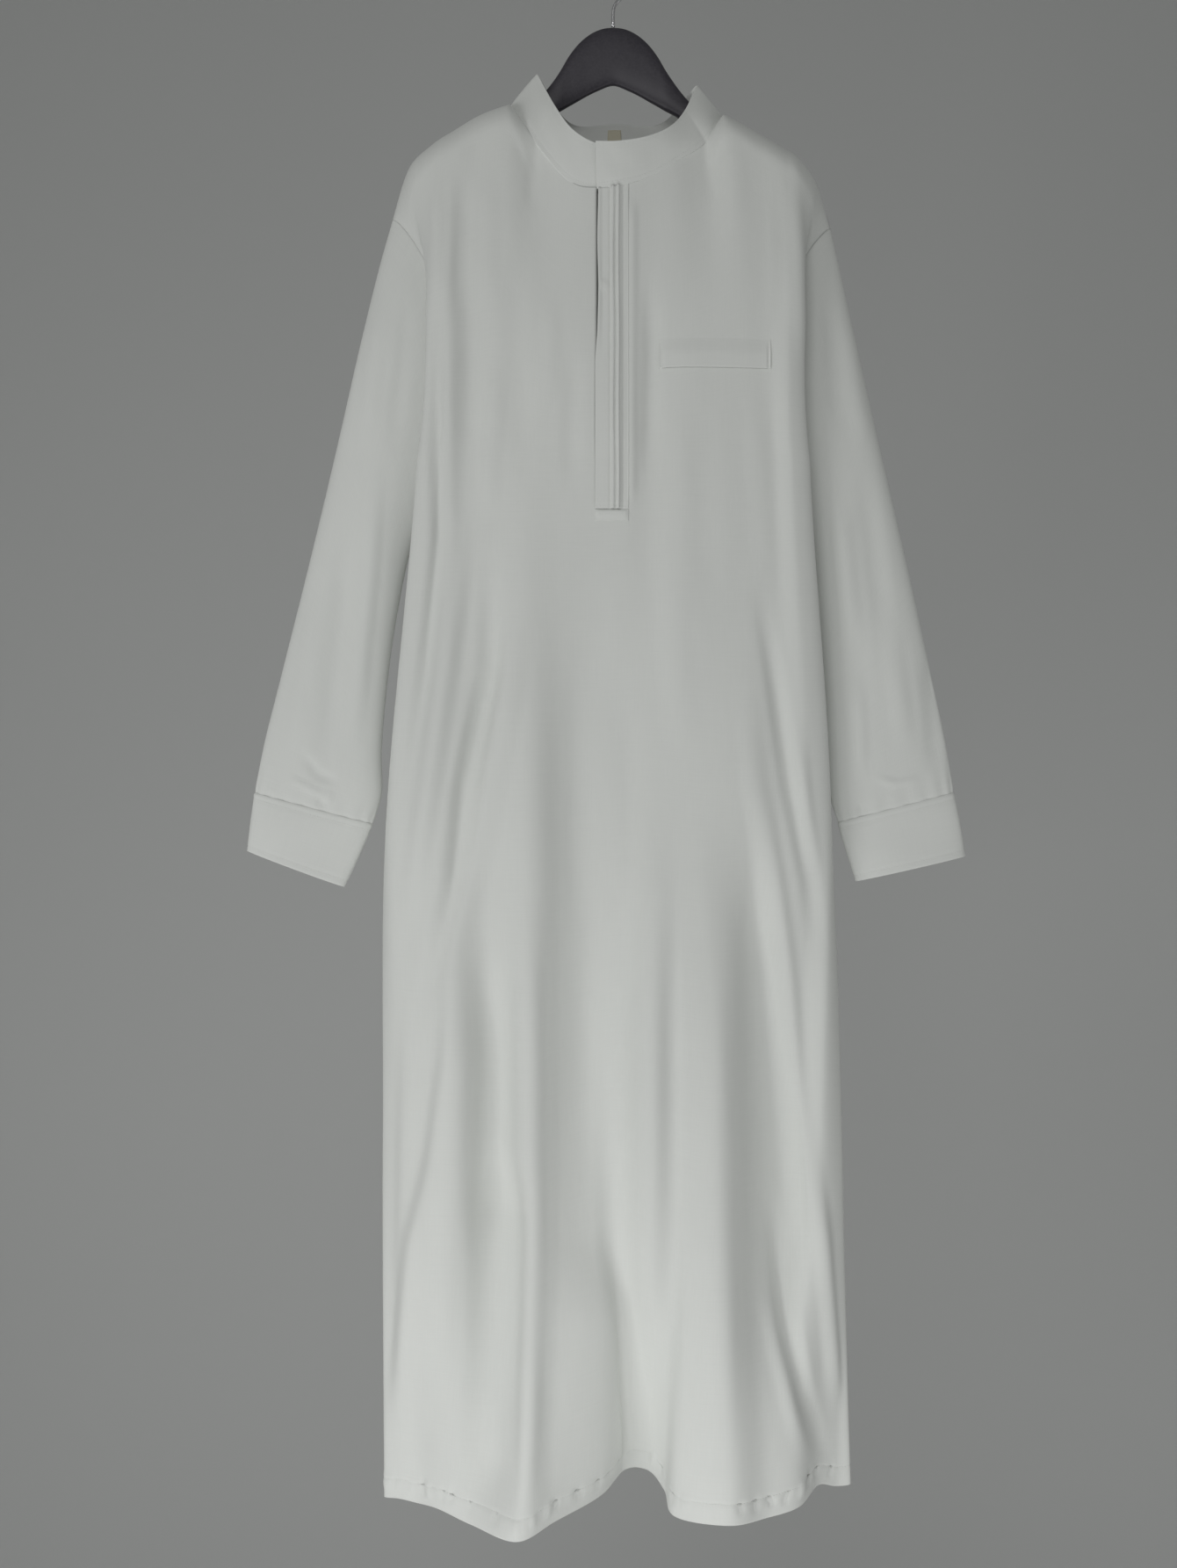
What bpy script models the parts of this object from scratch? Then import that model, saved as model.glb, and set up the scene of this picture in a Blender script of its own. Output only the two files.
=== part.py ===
"""Thobe robe hanging on a contoured hanger.

The origin is where the hook bears on its rod. X runs to the right as the robe is seen, the front faces -Y
and Z is up. Sides are the wearer's, so the right sleeve is at -X. Tables are in millimetres.
"""

import math
from typing import NamedTuple

import bmesh
import bpy
from mathutils import Matrix, Vector

MM = 0.001

# Walls and seams
CLOTH = 1.2  # one layer of the robe's cloth
DOUBLE = 1.9  # collar and cuffs, with their interlining
SEAM = 0.7  # between the middles of two panels that meet edge to edge
LIFT = 1.65  # between the middles of two layers that lie on each other

# Levels down the body
CHEST_Z = -523.0
LEVELS = (0.0, 0.5, 1.0, 1.313, 1.648, 2.0)  # top, bust, chest, waist, knee and hem
RIDGE = 34.0  # height over which the cloth rounds off the hanger's arm
RIM = 0.25  # half the gap between the panels along the shoulder seam
CORNER = 0.12  # how far down the neck corner is felt
CORNER_ROUND = 5.0  # how far the neckline bows out beside the shoulder

# Armholes
ARMHOLE_DEPTH = 22.0
ARMHOLE_HOLLOW = 30.0
TIPS = {-1: (-226.0, -269.0), 1: (222.5, -278.0)}
ARMPITS = {-1: (-158.0, CHEST_Z), 1: (154.0, CHEST_Z)}

# Front opening
OPENING_Z = -570.0
OVER_BAND = (-18.6, 14.6, -573.5)
UNDER_BAND = (-25.0, 12.0, -578.0)
TUCKS = (-0.8, 4.4)
TUCK_RISE = 1.3
TUCK_HALF = 1.7

# Chest pocket, a welt on the wearer's left
POCKET_X = (44.4, 155.6)
POCKET_Z = (-434.3, -400.6)

# Bare label inside the back of the collar
LABEL_X = (-4.5, 8.5)
LABEL_HEIGHT = (0.36, 0.84)

# Hanger and hook
ARM_TILT = 0.053  # the wearer's left arm hangs lower
ARM_FOOT = 60.0  # the arms start this far from the middle
HOOK_WIRE = 3.6
HOOK_RADIUS = 21.0
HOOK_FOOT = -70.9
HOOK_END = 205.0  # degrees round the loop to its open end


class Fold(NamedTuple):
    """One line of cloth from the top edge of a panel to its hem."""

    name: str
    top: tuple
    shelf: float
    bust: tuple
    chest: tuple
    waist: tuple
    knee: tuple
    hem: tuple


FRONT = (
    # name, top xyz, y under the ridge, then xy at bust, chest, waist and knee, and xyz at the hem
    Fold(
        "right seam", (-226, 0, -269), 0, (-158, 0), (-158, 0),
        (-218, 2), (-230.5, 4), (-227, -1, -1569),
    ),
    Fold(
        "right return", (-207, -RIM, -214.5), -22, (-184, -30), (-180, -20),
        (-227.5, -16), (-234, -9), (-232, -13, -1570),
    ),
    Fold(
        "right edge", (-184, -RIM, -194), -30, (-186, -42), (-196, -41),
        (-223, -34), (-222, -22), (-218, -18, -1569),
    ),
    Fold(
        "right side", (-160, -RIM, -178.8), -31, (-168, -51), (-176, -52),
        (-202, -43), (-199, -38), (-201, -20, -1572),
    ),
    Fold(
        "right dip", (-134, -RIM, -163.4), -31, (-142, -45), (-147, -44),
        (-164, -50), (-160, -56), (-175, -36, -1571),
    ),
    Fold(
        "right neck", (-105.5, -RIM, -152.8), -30, (-113, -48), (-121, -49),
        (-134, -47), (-120, -44), (-142, -53, -1578),
    ),
    Fold(
        "right crest", (-78, -28, -200), -33, (-84, -50), (-88, -53),
        (-86, -60), (-79, -64), (-93, -82, -1580),
    ),
    Fold(
        "right slope", (-47, -39, -241), -41, (-54, -51), (-56, -52),
        (-51, -50), (-51, -50), (-61, -62, -1572),
    ),
    Fold(
        "opening right", (-17, -43, -252), -47, (-17, -51), (-17, -52),
        (-12, -42), (-20, -41), (-16, -18, -1563),
    ),
    Fold(
        "opening left", (9, -44, -248.5), -48, (9, -51), (9, -52),
        (14, -43), (2, -39), (4, 12, -1554),
    ),
    Fold(
        "hollow", (35, -41, -239), -46, (36, -49), (34, -49),
        (42, -49), (30, -55), (35, 12, -1554),
    ),
    Fold(
        "left wall", (61, -37, -223), -40, (68, -52), (66, -54),
        (70, -54), (58, -60), (52, -10, -1564.5),
    ),
    Fold(
        "left rise", (92, -25, -198), -33, (99, -51), (101, -53),
        (100, -56), (86, -61), (60, -46, -1573),
    ),
    Fold(
        "left neck", (112.4, -RIM, -163.2), -30, (126, -50), (131, -51),
        (131, -54), (113, -58), (111, -66, -1572.5),
    ),
    Fold(
        "left crest", (147, -RIM, -182.5), -31, (153, -48), (158, -48),
        (165, -46), (146, -38), (151, -46, -1575),
    ),
    Fold(
        "left side", (171, -RIM, -196.5), -31, (174, -51), (177, -53),
        (194, -44), (185, -26), (187, -32, -1570),
    ),
    Fold(
        "left edge", (187, -RIM, -207), -30, (189, -42), (195, -40),
        (216, -33), (210, -32), (210, -2, -1563),
    ),
    Fold(
        "left return", (206, -RIM, -230), -22, (184, -30), (176, -20),
        (217, -16), (230, -16), (229, 10, -1570),
    ),
    Fold(
        "left seam", (222.5, 0, -278), 0, (154, 0), (154, 0),
        (210, 4), (232, 2), (246, 14, -1569),
    ),
)

BACK = (
    Fold(
        "right seam", (-226, 0, -269), 0, (-158, 0), (-158, 0),
        (-218, 2), (-230.5, 4), (-227, -1, -1569),
    ),
    Fold(
        "right return", (-207, RIM, -214.5), 22, (-184, 30), (-178, 20),
        (-226.5, 16), (-232, 18), (-230, 14, -1569),
    ),
    Fold(
        "right edge", (-184, RIM, -194), 30, (-190, 40), (-197, 38),
        (-219, 38), (-220, 42), (-213, 44, -1568),
    ),
    Fold(
        "right side", (-147, RIM, -171.2), 30, (-152, 48), (-156, 50),
        (-172, 54), (-172, 66), (-170, 84, -1571),
    ),
    Fold(
        "right neck", (-105.5, RIM, -152.8), 29, (-108, 45), (-112, 46),
        (-122, 46), (-124, 49), (-126, 58, -1567),
    ),
    Fold(
        "right yoke", (-60, 26, -189), 38, (-64, 48), (-68, 50),
        (-77, 58), (-80, 71), (-84, 96, -1572),
    ),
    Fold(
        "middle", (4, 32, -196), 40, (2, 47), (0, 48),
        (-18, 48), (-26, 54), (-34, 66, -1567),
    ),
    Fold(
        "left yoke", (68, 26, -192), 38, (68, 49), (68, 50),
        (58, 58), (40, 71), (26, 97, -1572),
    ),
    Fold(
        "left neck", (112.4, RIM, -163.2), 29, (115, 46), (116, 47),
        (106, 47), (92, 52), (76, 66, -1567),
    ),
    Fold(
        "left side", (149, RIM, -183.6), 30, (153, 48), (156, 50),
        (156, 57), (146, 72), (132, 98, -1572),
    ),
    Fold(
        "left edge", (187, RIM, -207), 30, (188, 40), (194, 38),
        (208, 40), (205, 50), (196, 62, -1568),
    ),
    Fold(
        "left return", (206, RIM, -230), 22, (184, 30), (174, 20),
        (215, 20), (230, 24), (238, 42, -1568),
    ),
    Fold(
        "left seam", (222.5, 0, -278), 0, (154, 0), (154, 0),
        (210, 4), (232, 2), (246, 14, -1569),
    ),
)


class Station(NamedTuple):
    """The collar's top edge over one fold line, and how far its layer lies in front (-) or behind (+)."""

    panel: str
    fold: str
    top: tuple
    shift: float


COLLAR = (
    Station("front", "opening right", (-18, -46, -208), -1.7),
    Station("front", "opening left", (5, -47, -208), -1.4),
    Station("front", "hollow", (32, -44, -202), -0.4),
    Station("front", "left wall", (56, -35, -188), 0),
    Station("front", "left rise", (72, -20, -165), 0),
    Station("front", "left neck", (85.4, 0, -130), 0),
    Station("back", "left yoke", (50, 28, -157), 0),
    Station("back", "middle", (4, 36, -154), 0),
    Station("back", "right yoke", (-45, 28, -156), 0),
    Station("front", "right neck", (-77.6, 0, -118.6), 0),
    Station("front", "right crest", (-59, -24, -162), 0),
    Station("front", "right slope", (-41, -38, -192), 0),
    Station("front", "opening right", (-18, -45, -208), 1.5),
    Station("front", "opening left", (3, -45, -208), 1.8),
)


class Ring(NamedTuple):
    """A section of both sleeves, from the armhole at 0 to the cuff seam at 1."""

    along: float
    bow_right: float
    bow_left: float
    inner_right: float
    inner_left: float
    depth: float
    hollow: float


SLEEVE = (
    # how far along, outer edge's bow, inner edge's x, half depth, dishing of the ring
    Ring(0.00, 0.0, 0.0, -158, 154, ARMHOLE_DEPTH, ARMHOLE_HOLLOW),
    Ring(0.08, 1.6, 0.2, -184, 181, 20, 15),
    Ring(0.20, 2.0, 0.6, -204, 195, 18, 5),
    Ring(0.40, 0.6, 1.6, -221, 205, 17, 0),
    Ring(0.60, 0.5, 3.2, -231.5, 213, 15, 0),
    Ring(0.80, 1.8, 3.4, -237.5, 218, 13, 0),
    Ring(0.92, 2.4, 3.0, -238, 222, 11, 0),
    Ring(1.00, 0.0, 0.0, -247.5, 231.3, 8.5, 0),
)
# Outer and inner corners, x and z, of the cuff's seam and its open end
CUFFS = {
    -1: ((-367, -857), (-247.5, -889), (-374, -914.5), (-276, -951)),
    1: ((348.6, -857), (231.3, -887), (360, -920), (249.3, -945.3)),
}
CUFF_DEPTH = (8.5, 11.0)


class Arm(NamedTuple):
    """A section of the hanger at one distance from its middle."""

    x: float
    top: float
    bottom: float
    half: float


HANGER = (
    Arm(0, -71.8, -130.5, 6.0),
    Arm(15, -74.3, -135.5, 6.0),
    Arm(27, -81.0, -141.3, 6.0),
    Arm(37, -90.3, -147, 6.2),
    Arm(46, -102.3, -152, 6.4),
    Arm(54, -116.2, -156.5, 6.8),
    Arm(63, -129.5, -161, 6.6),
    Arm(74, -143, -167, 6.2),
    Arm(86, -154, -174, 6.0),
    Arm(104, -164.5, -184, 6.4),
    Arm(120, -169, -191, 8.6),
    Arm(138, -174.35, -200, 10.0),
    Arm(165, -188.45, -212, 10.4),
    Arm(182, -201.2, -219, 10.0),
    Arm(190, -208.5, -219.5, 7.0),
)


def hermite(p0, p1, m0, m1, h, s):
    """Cubic between p0 and p1 with slopes m0 and m1 over a span h, at s from 0 to 1."""
    a = 2 * s**3 - 3 * s**2 + 1
    b = s**3 - 2 * s**2 + s
    return p0 * a + m0 * (b * h) + p1 * (1 - a) + m1 * ((s**3 - s**2) * h)


def slope(before, here, after, h0, h1):
    """Slope at the middle one of three values, h0 and h1 apart."""
    return ((here - before) * (h1 / h0) + (after - here) * (h0 / h1)) / (h0 + h1)


def through(knots, values, t):
    """Smooth curve through values at knots, evaluated at t."""
    last = len(knots) - 2
    i = max(0, min(last, sum(k <= t for k in knots) - 1))
    h = knots[i + 1] - knots[i]
    m0 = m1 = (values[i + 1] - values[i]) / h
    if i > 0:
        m0 = slope(values[i - 1], values[i], values[i + 1], knots[i] - knots[i - 1], h)
    if i < last:
        m1 = slope(values[i], values[i + 1], values[i + 2], h, knots[i + 2] - knots[i + 1])
    return hermite(values[i], values[i + 1], m0, m1, h, (t - knots[i]) / h)


def oval(outer, inner, depth, hollow, angle, inset=0.0):
    """Point of a flattened ring, set in from its rim, whose outer and inner corners are given as x and z."""
    out, inn = Vector((outer[0], 0, outer[1])), Vector((inner[0], 0, inner[1]))
    axis = (out - inn) / 2
    side = 1 if out.x > 0 else -1
    inward = Vector((-side * abs(axis.z), 0, side * axis.x)).normalized()
    sine, cosine = math.sin(angle), math.cos(angle)
    point = (out + inn) / 2 + axis * cosine + inward * (hollow * abs(sine) ** 1.5)
    off = Vector((cosine / axis.length, sine / depth)).normalized() * inset
    return point - axis.normalized() * off.x + Vector((0, off.y - depth * sine, 0))


def armhole(side, angle):
    """Edge of the body's armhole, from the shoulder tip at 0, down the front, to the armpit at pi."""
    return oval(TIPS[side], ARMPITS[side], ARMHOLE_DEPTH, ARMHOLE_HOLLOW, angle)


class Panel:
    """A body panel drawn through its fold lines: u runs across in millimetres, v from the top to the hem."""

    def __init__(self, folds, front):
        """Place the fold lines across the panel by their mean distances apart."""
        self.folds = folds
        self.facing = 1 if front else -1
        self.other = None
        self.knots = [0.0]
        for here, after in zip(folds, folds[1:]):
            gaps = [math.dist(here[k][:2], after[k][:2]) for k in range(3, 8)]
            self.knots.append(self.knots[-1] + sum(gaps) / len(gaps))

    def u_of(self, name):
        """Position across the panel of a named fold line."""
        return self.knots[[f.name for f in self.folds].index(name)]

    def line(self, i, v):
        """Point of fold line i at v."""
        fold = self.folds[i]
        if v < 1 and i in (0, len(self.folds) - 1):
            edge = armhole(-1 if i == 0 else 1, self.facing * math.acos(1 - 2 * v))
            return edge - Vector((0, self.facing * SEAM / 2, 0))
        shoulder = abs(fold.top[1]) < 1
        spots = (fold.top, fold.bust, fold.chest, fold.waist, fold.knee, fold.hem)
        xs = [k[0] for k in spots]
        ys = [k[1] for k in spots]
        if shoulder:
            ys[0] = fold.shelf
        x, y = through(LEVELS, xs, v), through(LEVELS, ys, v)
        if v >= 1:
            return Vector((x, y, CHEST_Z + (fold.hem[2] - CHEST_Z) * (v - 1)))
        drop = v * (fold.top[2] - CHEST_Z)
        if shoulder:
            off = 1 - min(drop / RIDGE, 1)
            y = fold.top[1] + (y - fold.top[1]) * math.sqrt(1 - off * off)
        return Vector((x, y, fold.top[2] - drop))

    def beyond(self, i, v):
        """Point one fold line past a seam, on the other panel."""
        n, m = len(self.folds) - 1, len(self.other.folds) - 1
        edge, far, step = (0, 0, 1) if i < 0 else (n, m, m - 1)
        return self.line(edge, v) + self.other.line(step, v) - self.other.line(far, v)

    def point(self, u, v):
        """Point of the panel's middle surface."""
        k = self.knots
        last = len(k) - 2
        i = max(0, min(last, sum(q <= u for q in k) - 1))
        h = k[i + 1] - k[i]
        p0, p1 = self.line(i, v), self.line(i + 1, v)
        before = self.line(i - 1, v) if i > 0 else self.beyond(-1, v)
        after = self.line(i + 2, v) if i < last else self.beyond(last + 2, v)
        h0 = k[i] - k[i - 1] if i > 0 else self.other.knots[1]
        h1 = k[i + 2] - k[i + 1] if i < last else self.other.knots[-1] - self.other.knots[-2]
        m0, m1 = slope(before, p0, p1, h0, h), slope(p0, p1, after, h, h1)
        sharp = max(0.0, 1 - v / CORNER)
        rise = (p1 - p0) / h
        s, bow = (u - k[i]) / h, 0.0
        if self.folds[i].name.endswith("neck"):
            m0 = m0.lerp(rise, sharp)
            bow = 4 * s * (1 - s) * sharp * (abs(self.folds[i + 1].top[1]) > 1)
        if self.folds[i + 1].name.endswith("neck"):
            m1 = m1.lerp(rise, sharp)
            bow = 4 * s * (1 - s) * sharp * (abs(self.folds[i].top[1]) > 1)
        return hermite(p0, p1, m0, m1, h, s) - Vector((0, self.facing * bow * CORNER_ROUND, 0))

    def normal(self, u, v):
        """Direction out of the cloth, away from the body."""
        du = self.point(u + 0.5, v) - self.point(u - 0.5, v)
        dv = self.point(u, v + 0.002) - self.point(u, max(v - 0.002, 0))
        n = du.cross(dv).normalized()
        return n if n.y * self.facing < 0 else -n

    def locate(self, x, z):
        """The u and v whose point has this x and z, in the flat middle of the panel."""
        low, high = self.knots[2], self.knots[-3]
        for _ in range(40):
            u = (low + high) / 2
            v = self.v_at(u, z)
            if self.point(u, v).x < x:
                low = u
            else:
                high = u
        return u, v

    def v_at(self, u, z):
        """The v of a height on the line of cloth at u."""
        low, high = 0.0, 2.0
        for _ in range(40):
            v = (low + high) / 2
            if self.point(u, v).z > z:
                low = v
            else:
                high = v
        return v


def material(name, colour, roughness, metallic=0.0):
    """A plain Principled material."""
    m = bpy.data.materials.get(name) or bpy.data.materials.new(name)
    m.use_nodes = True
    shader = m.node_tree.nodes["Principled BSDF"]
    shader.inputs["Base Color"].default_value = (*colour, 1.0)
    shader.inputs["Roughness"].default_value = roughness
    shader.inputs["Metallic"].default_value = metallic
    return m


def add_object(name, bm, finish, wall=0.0):
    """Make a named object in metres from a bmesh in millimetres, thickened when it is a surface."""
    bmesh.ops.recalc_face_normals(bm, faces=bm.faces)
    bm.transform(Matrix.Scale(MM, 4))
    mesh = bpy.data.meshes.new(name)
    bm.to_mesh(mesh)
    bm.free()
    mesh.materials.append(finish)
    obj = bpy.data.objects.new(name, mesh)
    bpy.context.scene.collection.objects.link(obj)
    if wall:
        solid = obj.modifiers.new("wall", "SOLIDIFY")
        solid.thickness = wall * MM
        solid.offset = 0.0
    return obj


def sheet(columns, rows, place, drop=None):
    """A grid whose corners are placed by column and row; drop says which cells are cut out."""
    bm = bmesh.new()
    bmesh.ops.create_grid(bm, x_segments=len(columns) - 1, y_segments=len(rows) - 1, size=1)
    for vert in bm.verts:
        i = round((vert.co.x + 1) / 2 * (len(columns) - 1))
        j = round((1 - vert.co.y) / 2 * (len(rows) - 1))
        vert.index = j * len(columns) + i
    cut = []
    for face in bm.faces:
        i = min(v.index % len(columns) for v in face.verts)
        j = min(v.index // len(columns) for v in face.verts)
        if drop and drop(i, j):
            cut.append(face)
    for vert in bm.verts:
        vert.co = place(columns[vert.index % len(columns)], rows[vert.index // len(columns)])
    if cut:
        bmesh.ops.delete(bm, geom=cut, context="FACES")
    return bm


def tube(rows, around, place):
    """A sheet rolled round and welded, from rings placed by angle and row."""
    angles = [2 * math.pi * i / around for i in range(around + 1)]
    bm = sheet(angles, rows, lambda angle, row: place(angle % (2 * math.pi), row))
    bmesh.ops.remove_doubles(bm, verts=bm.verts, dist=0.02)
    return bm


def spread(knots, parts):
    """Each span between knots in equal parts."""
    steps = [a + (b - a) * i / parts for a, b in zip(knots, knots[1:]) for i in range(parts)]
    return steps + [knots[-1]]


UPPER = (0, 0.006, 0.026, 0.062, 0.12, 0.2, 0.3, 0.42, 0.55, 0.7, 0.84, 0.94, 0.985)


def body_panel(name, panel, finish, parts, lower):
    """The front or back, from shoulder and neck to hem."""
    columns = spread(panel.knots, parts)
    end_u = columns[-1]
    columns = [0.0, 2.5] + columns[1:-1] + [end_u - 2.5, end_u]

    def place(u, v):
        if u in (0.0, end_u):
            step = 0.5 if u == 0.0 else -0.5
            pace = (panel.point(u + step, v) - panel.point(u, v)).length
            u += step * min(SEAM / 2 / pace, 3)
        return panel.point(u, v)

    rows = list(UPPER) + lower
    drop = None
    if panel.facing > 0:
        a, b = panel.u_of("opening right"), panel.u_of("opening left")
        end = 1 + (OPENING_Z - CHEST_Z) / (panel.folds[8].hem[2] - CHEST_Z)

        def drop(i, j):
            return a - 0.1 < columns[i] < b - 0.1 and rows[j] < end - 0.01

    return add_object(name, sheet(columns, rows, place, drop), finish, CLOTH)


def laid_on(name, panel, finish, xs, top, bottom, rows, lift, rise=None, wall=CLOTH):
    """A piece that lies on a panel, made from the panel's own points moved out by lift."""

    def place(x, s):
        z_top = top(x)
        u, v = panel.locate(x, z_top + (bottom - z_top) * s)
        out = lift + (rise(x) if rise else 0.0)
        return panel.point(u, v) + panel.normal(u, v) * out

    return add_object(name, sheet(xs, rows, place), finish, wall)


def neck_z(panel, x):
    """Height just under the neckline at x."""
    low, high = panel.u_of("right slope"), panel.u_of("left wall")
    for _ in range(40):
        u = (low + high) / 2
        if panel.point(u, 0).x < x:
            low = u
        else:
            high = u
    return panel.point(u, 0).z - 1.0


def tuck_rise(x):
    """Height of the pin tucks across the placket."""
    near = min(abs(x - t) for t in TUCKS)
    return TUCK_RISE * max(0.0, 1 - near / TUCK_HALF)


def collar_point(panels, s, height):
    """Point of the collar band at a station position s and a height from 0 to 1."""
    knots = list(range(len(COLLAR)))
    tops = [Vector(c.top) + Vector((0, c.shift, 0)) for c in COLLAR]
    i = min(int(s), len(COLLAR) - 2)
    a, b = COLLAR[i], COLLAR[i + 1]
    panel = panels["back" if "back" in (a.panel, b.panel) else "front"]
    ua, ub = panel.u_of(a.fold), panel.u_of(b.fold)
    shift = a.shift + (b.shift - a.shift) * (s - i)
    base = panel.point(ua + (ub - ua) * (s - i), 0) + Vector((0, shift, 0))
    top = through(knots[:6], tops[:6], s) if s < 5 else through(knots[:5], tops[5:10], s - 5)
    if s > 9:
        top = through(knots[:5], tops[9:], s - 9)
    up = (top - base).normalized()
    foot = base + up * 1.5
    return foot.lerp(top, height)


def sleeve(name, side, finish, around, rows):
    """A sleeve tube from inside the armhole to the cuff seam."""
    along = [r.along for r in SLEEVE]
    inner = [(r.inner_right if side < 0 else r.inner_left) for r in SLEEVE]
    bow = [(r.bow_right if side < 0 else r.bow_left) for r in SLEEVE]
    seam_out, seam_in = CUFFS[side][0], CUFFS[side][1]

    def place(angle, t):
        out = [TIPS[side][k] + (seam_out[k] - TIPS[side][k]) * t for k in (0, 1)]
        out[0] += side * through(along, bow, t)
        inn = (through(along, inner, t), ARMPITS[side][1] + (seam_in[1] - ARMPITS[side][1]) * t)
        depth = through(along, [r.depth for r in SLEEVE], t)
        hollow = max(0.0, through(along, [r.hollow for r in SLEEVE], t))
        start = max(0.0, 1 - t / 0.06)
        low = (1 - math.cos(angle)) / 2
        point = oval(out, inn, depth, hollow, angle, start * LIFT)
        return point + Vector((side * start * (0.3 + 1.3 * low), 0, 0))

    return add_object(name, tube(rows, around, place), finish, CLOTH)


def cuff(name, side, finish, around):
    """A cuff band, from just under the sleeve's seam to its open end."""
    corners = CUFFS[side]

    def place(angle, t):
        out = [corners[0][k] + (corners[2][k] - corners[0][k]) * t for k in (0, 1)]
        inn = [corners[1][k] + (corners[3][k] - corners[1][k]) * t for k in (0, 1)]
        depth = CUFF_DEPTH[0] + (CUFF_DEPTH[1] - CUFF_DEPTH[0]) * t
        return oval(out, inn, depth, 0, angle)

    return add_object(name, tube((0.016, 0.34, 0.67, 1.0), around, place), finish, DOUBLE)


def hanger(finish):
    """The hanger's shoulders and arch as one lofted bar with closed ends."""
    stations = [(-a.x, a) for a in reversed(HANGER[1:])] + [(a.x, a) for a in HANGER]
    around = 12

    def place(angle, k):
        x, a = stations[k]
        middle, tall = (a.top + a.bottom) / 2, (a.top - a.bottom) / 2
        c, s = math.cos(angle), math.sin(angle)
        y = a.half * math.copysign(abs(c) ** 0.7, c)
        z = middle + tall * math.copysign(abs(s) ** 0.8, s)
        tilt = ARM_TILT * math.copysign(max(0.0, abs(x) - ARM_FOOT), x)
        return Vector((x, y, z - tilt))

    bm = tube(range(len(stations)), around, place)
    bmesh.ops.holes_fill(bm, edges=bm.edges, sides=around)
    return add_object("hanger", bm, finish)


def hook(finish):
    """The wire hook: a loop whose underside bears at the origin, and a stem down to the arch."""
    radius = HOOK_WIRE / 2
    centre = radius - HOOK_RADIUS
    path = [(0, HOOK_FOOT), (0, -60), (0, -53), (1.6, -48), (5, -43.5), (9.8, -39.5)]
    for i in range(20):
        angle = math.radians(-45 + i * (HOOK_END + 45) / 19)
        path.append((HOOK_RADIUS * math.cos(angle), centre + HOOK_RADIUS * math.sin(angle)))
    path = [Vector((x, 0, z)) for x, z in path]
    curve = bpy.data.curves.new("hanger_hook", "CURVE")
    curve.dimensions = "3D"
    curve.bevel_depth = radius * MM
    curve.bevel_resolution = 3
    curve.use_fill_caps = True
    curve.render_resolution_u = 0
    spline = curve.splines.new("POLY")
    spline.points.add(len(path) - 1)
    for point, place in zip(spline.points, path):
        point.co = (*(place * MM), 1.0)
    curve.materials.append(finish)
    obj = bpy.data.objects.new("hanger_hook", curve)
    bpy.context.scene.collection.objects.link(obj)
    return obj


def build():
    """Make every piece of the robe and its hanger."""
    for old in list(bpy.data.objects):
        bpy.data.objects.remove(old)
    cloth = material("robe_cloth", (0.52, 0.53, 0.51), 0.9)
    label = material("label_cloth", (0.62, 0.58, 0.42), 0.8)
    plastic = material("hanger_plastic", (0.03, 0.026, 0.035), 0.45)
    steel = material("hook_steel", (0.62, 0.62, 0.62), 0.25, 1.0)

    front, back = Panel(FRONT, True), Panel(BACK, False)
    front.other, back.other = back, front
    panels = {"front": front, "back": back}

    end = 1 + (OPENING_Z - CHEST_Z) / (FRONT[8].hem[2] - CHEST_Z)
    lower = [1.0, end] + [end + (2 - end) * i / 12 for i in range(1, 13)]
    body_panel("front_panel", front, cloth, 3, lower)
    body_panel("back_panel", back, cloth, 3, [1 + i / 9 for i in range(10)])

    down = [i / 20 for i in range(21)]
    xs = [OVER_BAND[0], -11, -4.6]
    for t in TUCKS:
        xs += [t - TUCK_HALF, t, t + TUCK_HALF]
    xs += [10.5, OVER_BAND[1]]
    laid_on(
        "placket_band", front, cloth, xs, lambda x: neck_z(front, x), OVER_BAND[2], down, LIFT, tuck_rise
    )
    xs = [UNDER_BAND[0] + (UNDER_BAND[1] - UNDER_BAND[0]) * i / 3 for i in range(4)]
    laid_on(
        "placket_underlap", front, cloth, xs, lambda x: neck_z(front, x), UNDER_BAND[2], down[::2], -LIFT
    )
    xs = [POCKET_X[0] + (POCKET_X[1] - POCKET_X[0]) * i / 9 for i in range(10)]
    laid_on("chest_pocket_welt", front, cloth, xs, lambda x: POCKET_Z[1], POCKET_Z[0], (0, 0.5, 1), LIFT)

    stations = [i / 4 for i in range(4 * (len(COLLAR) - 1) + 1)]
    bm = sheet(stations, (0, 0.33, 0.67, 1), lambda s, h: collar_point(panels, s, h))
    add_object("collar_band", bm, cloth, DOUBLE)

    def label_place(x, h):
        s = 7 - (x - 4) / 50
        return collar_point(panels, s, h) + Vector((0, -1.9, 0))

    bm = sheet((LABEL_X[0], 2, LABEL_X[1]), LABEL_HEIGHT, label_place)
    add_object("neck_label", bm, label, 0.8)

    rows = [0, 0.02, 0.05, 0.09, 0.14, 0.2, 0.28, 0.36, 0.44]
    rows += [0.52, 0.6, 0.68, 0.76, 0.83, 0.89, 0.94, 0.975, 1]
    for side, word in ((-1, "right"), (1, "left")):
        sleeve(f"sleeve_{word}", side, cloth, 20, rows)
        cuff(f"cuff_{word}", side, cloth, 20)
    hanger(plastic)
    hook(steel)


build()
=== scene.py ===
"""Looks of a thobe robe hanging on a contoured hanger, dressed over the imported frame.

Sizes are in millimetres in the frame's axes, from the point where the hook bears on its rod: X runs to
the right as the robe is seen, the front faces -Y and Z is up. Sides are the wearer's, so the right sleeve
is at -X.
"""

from __future__ import annotations

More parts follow.
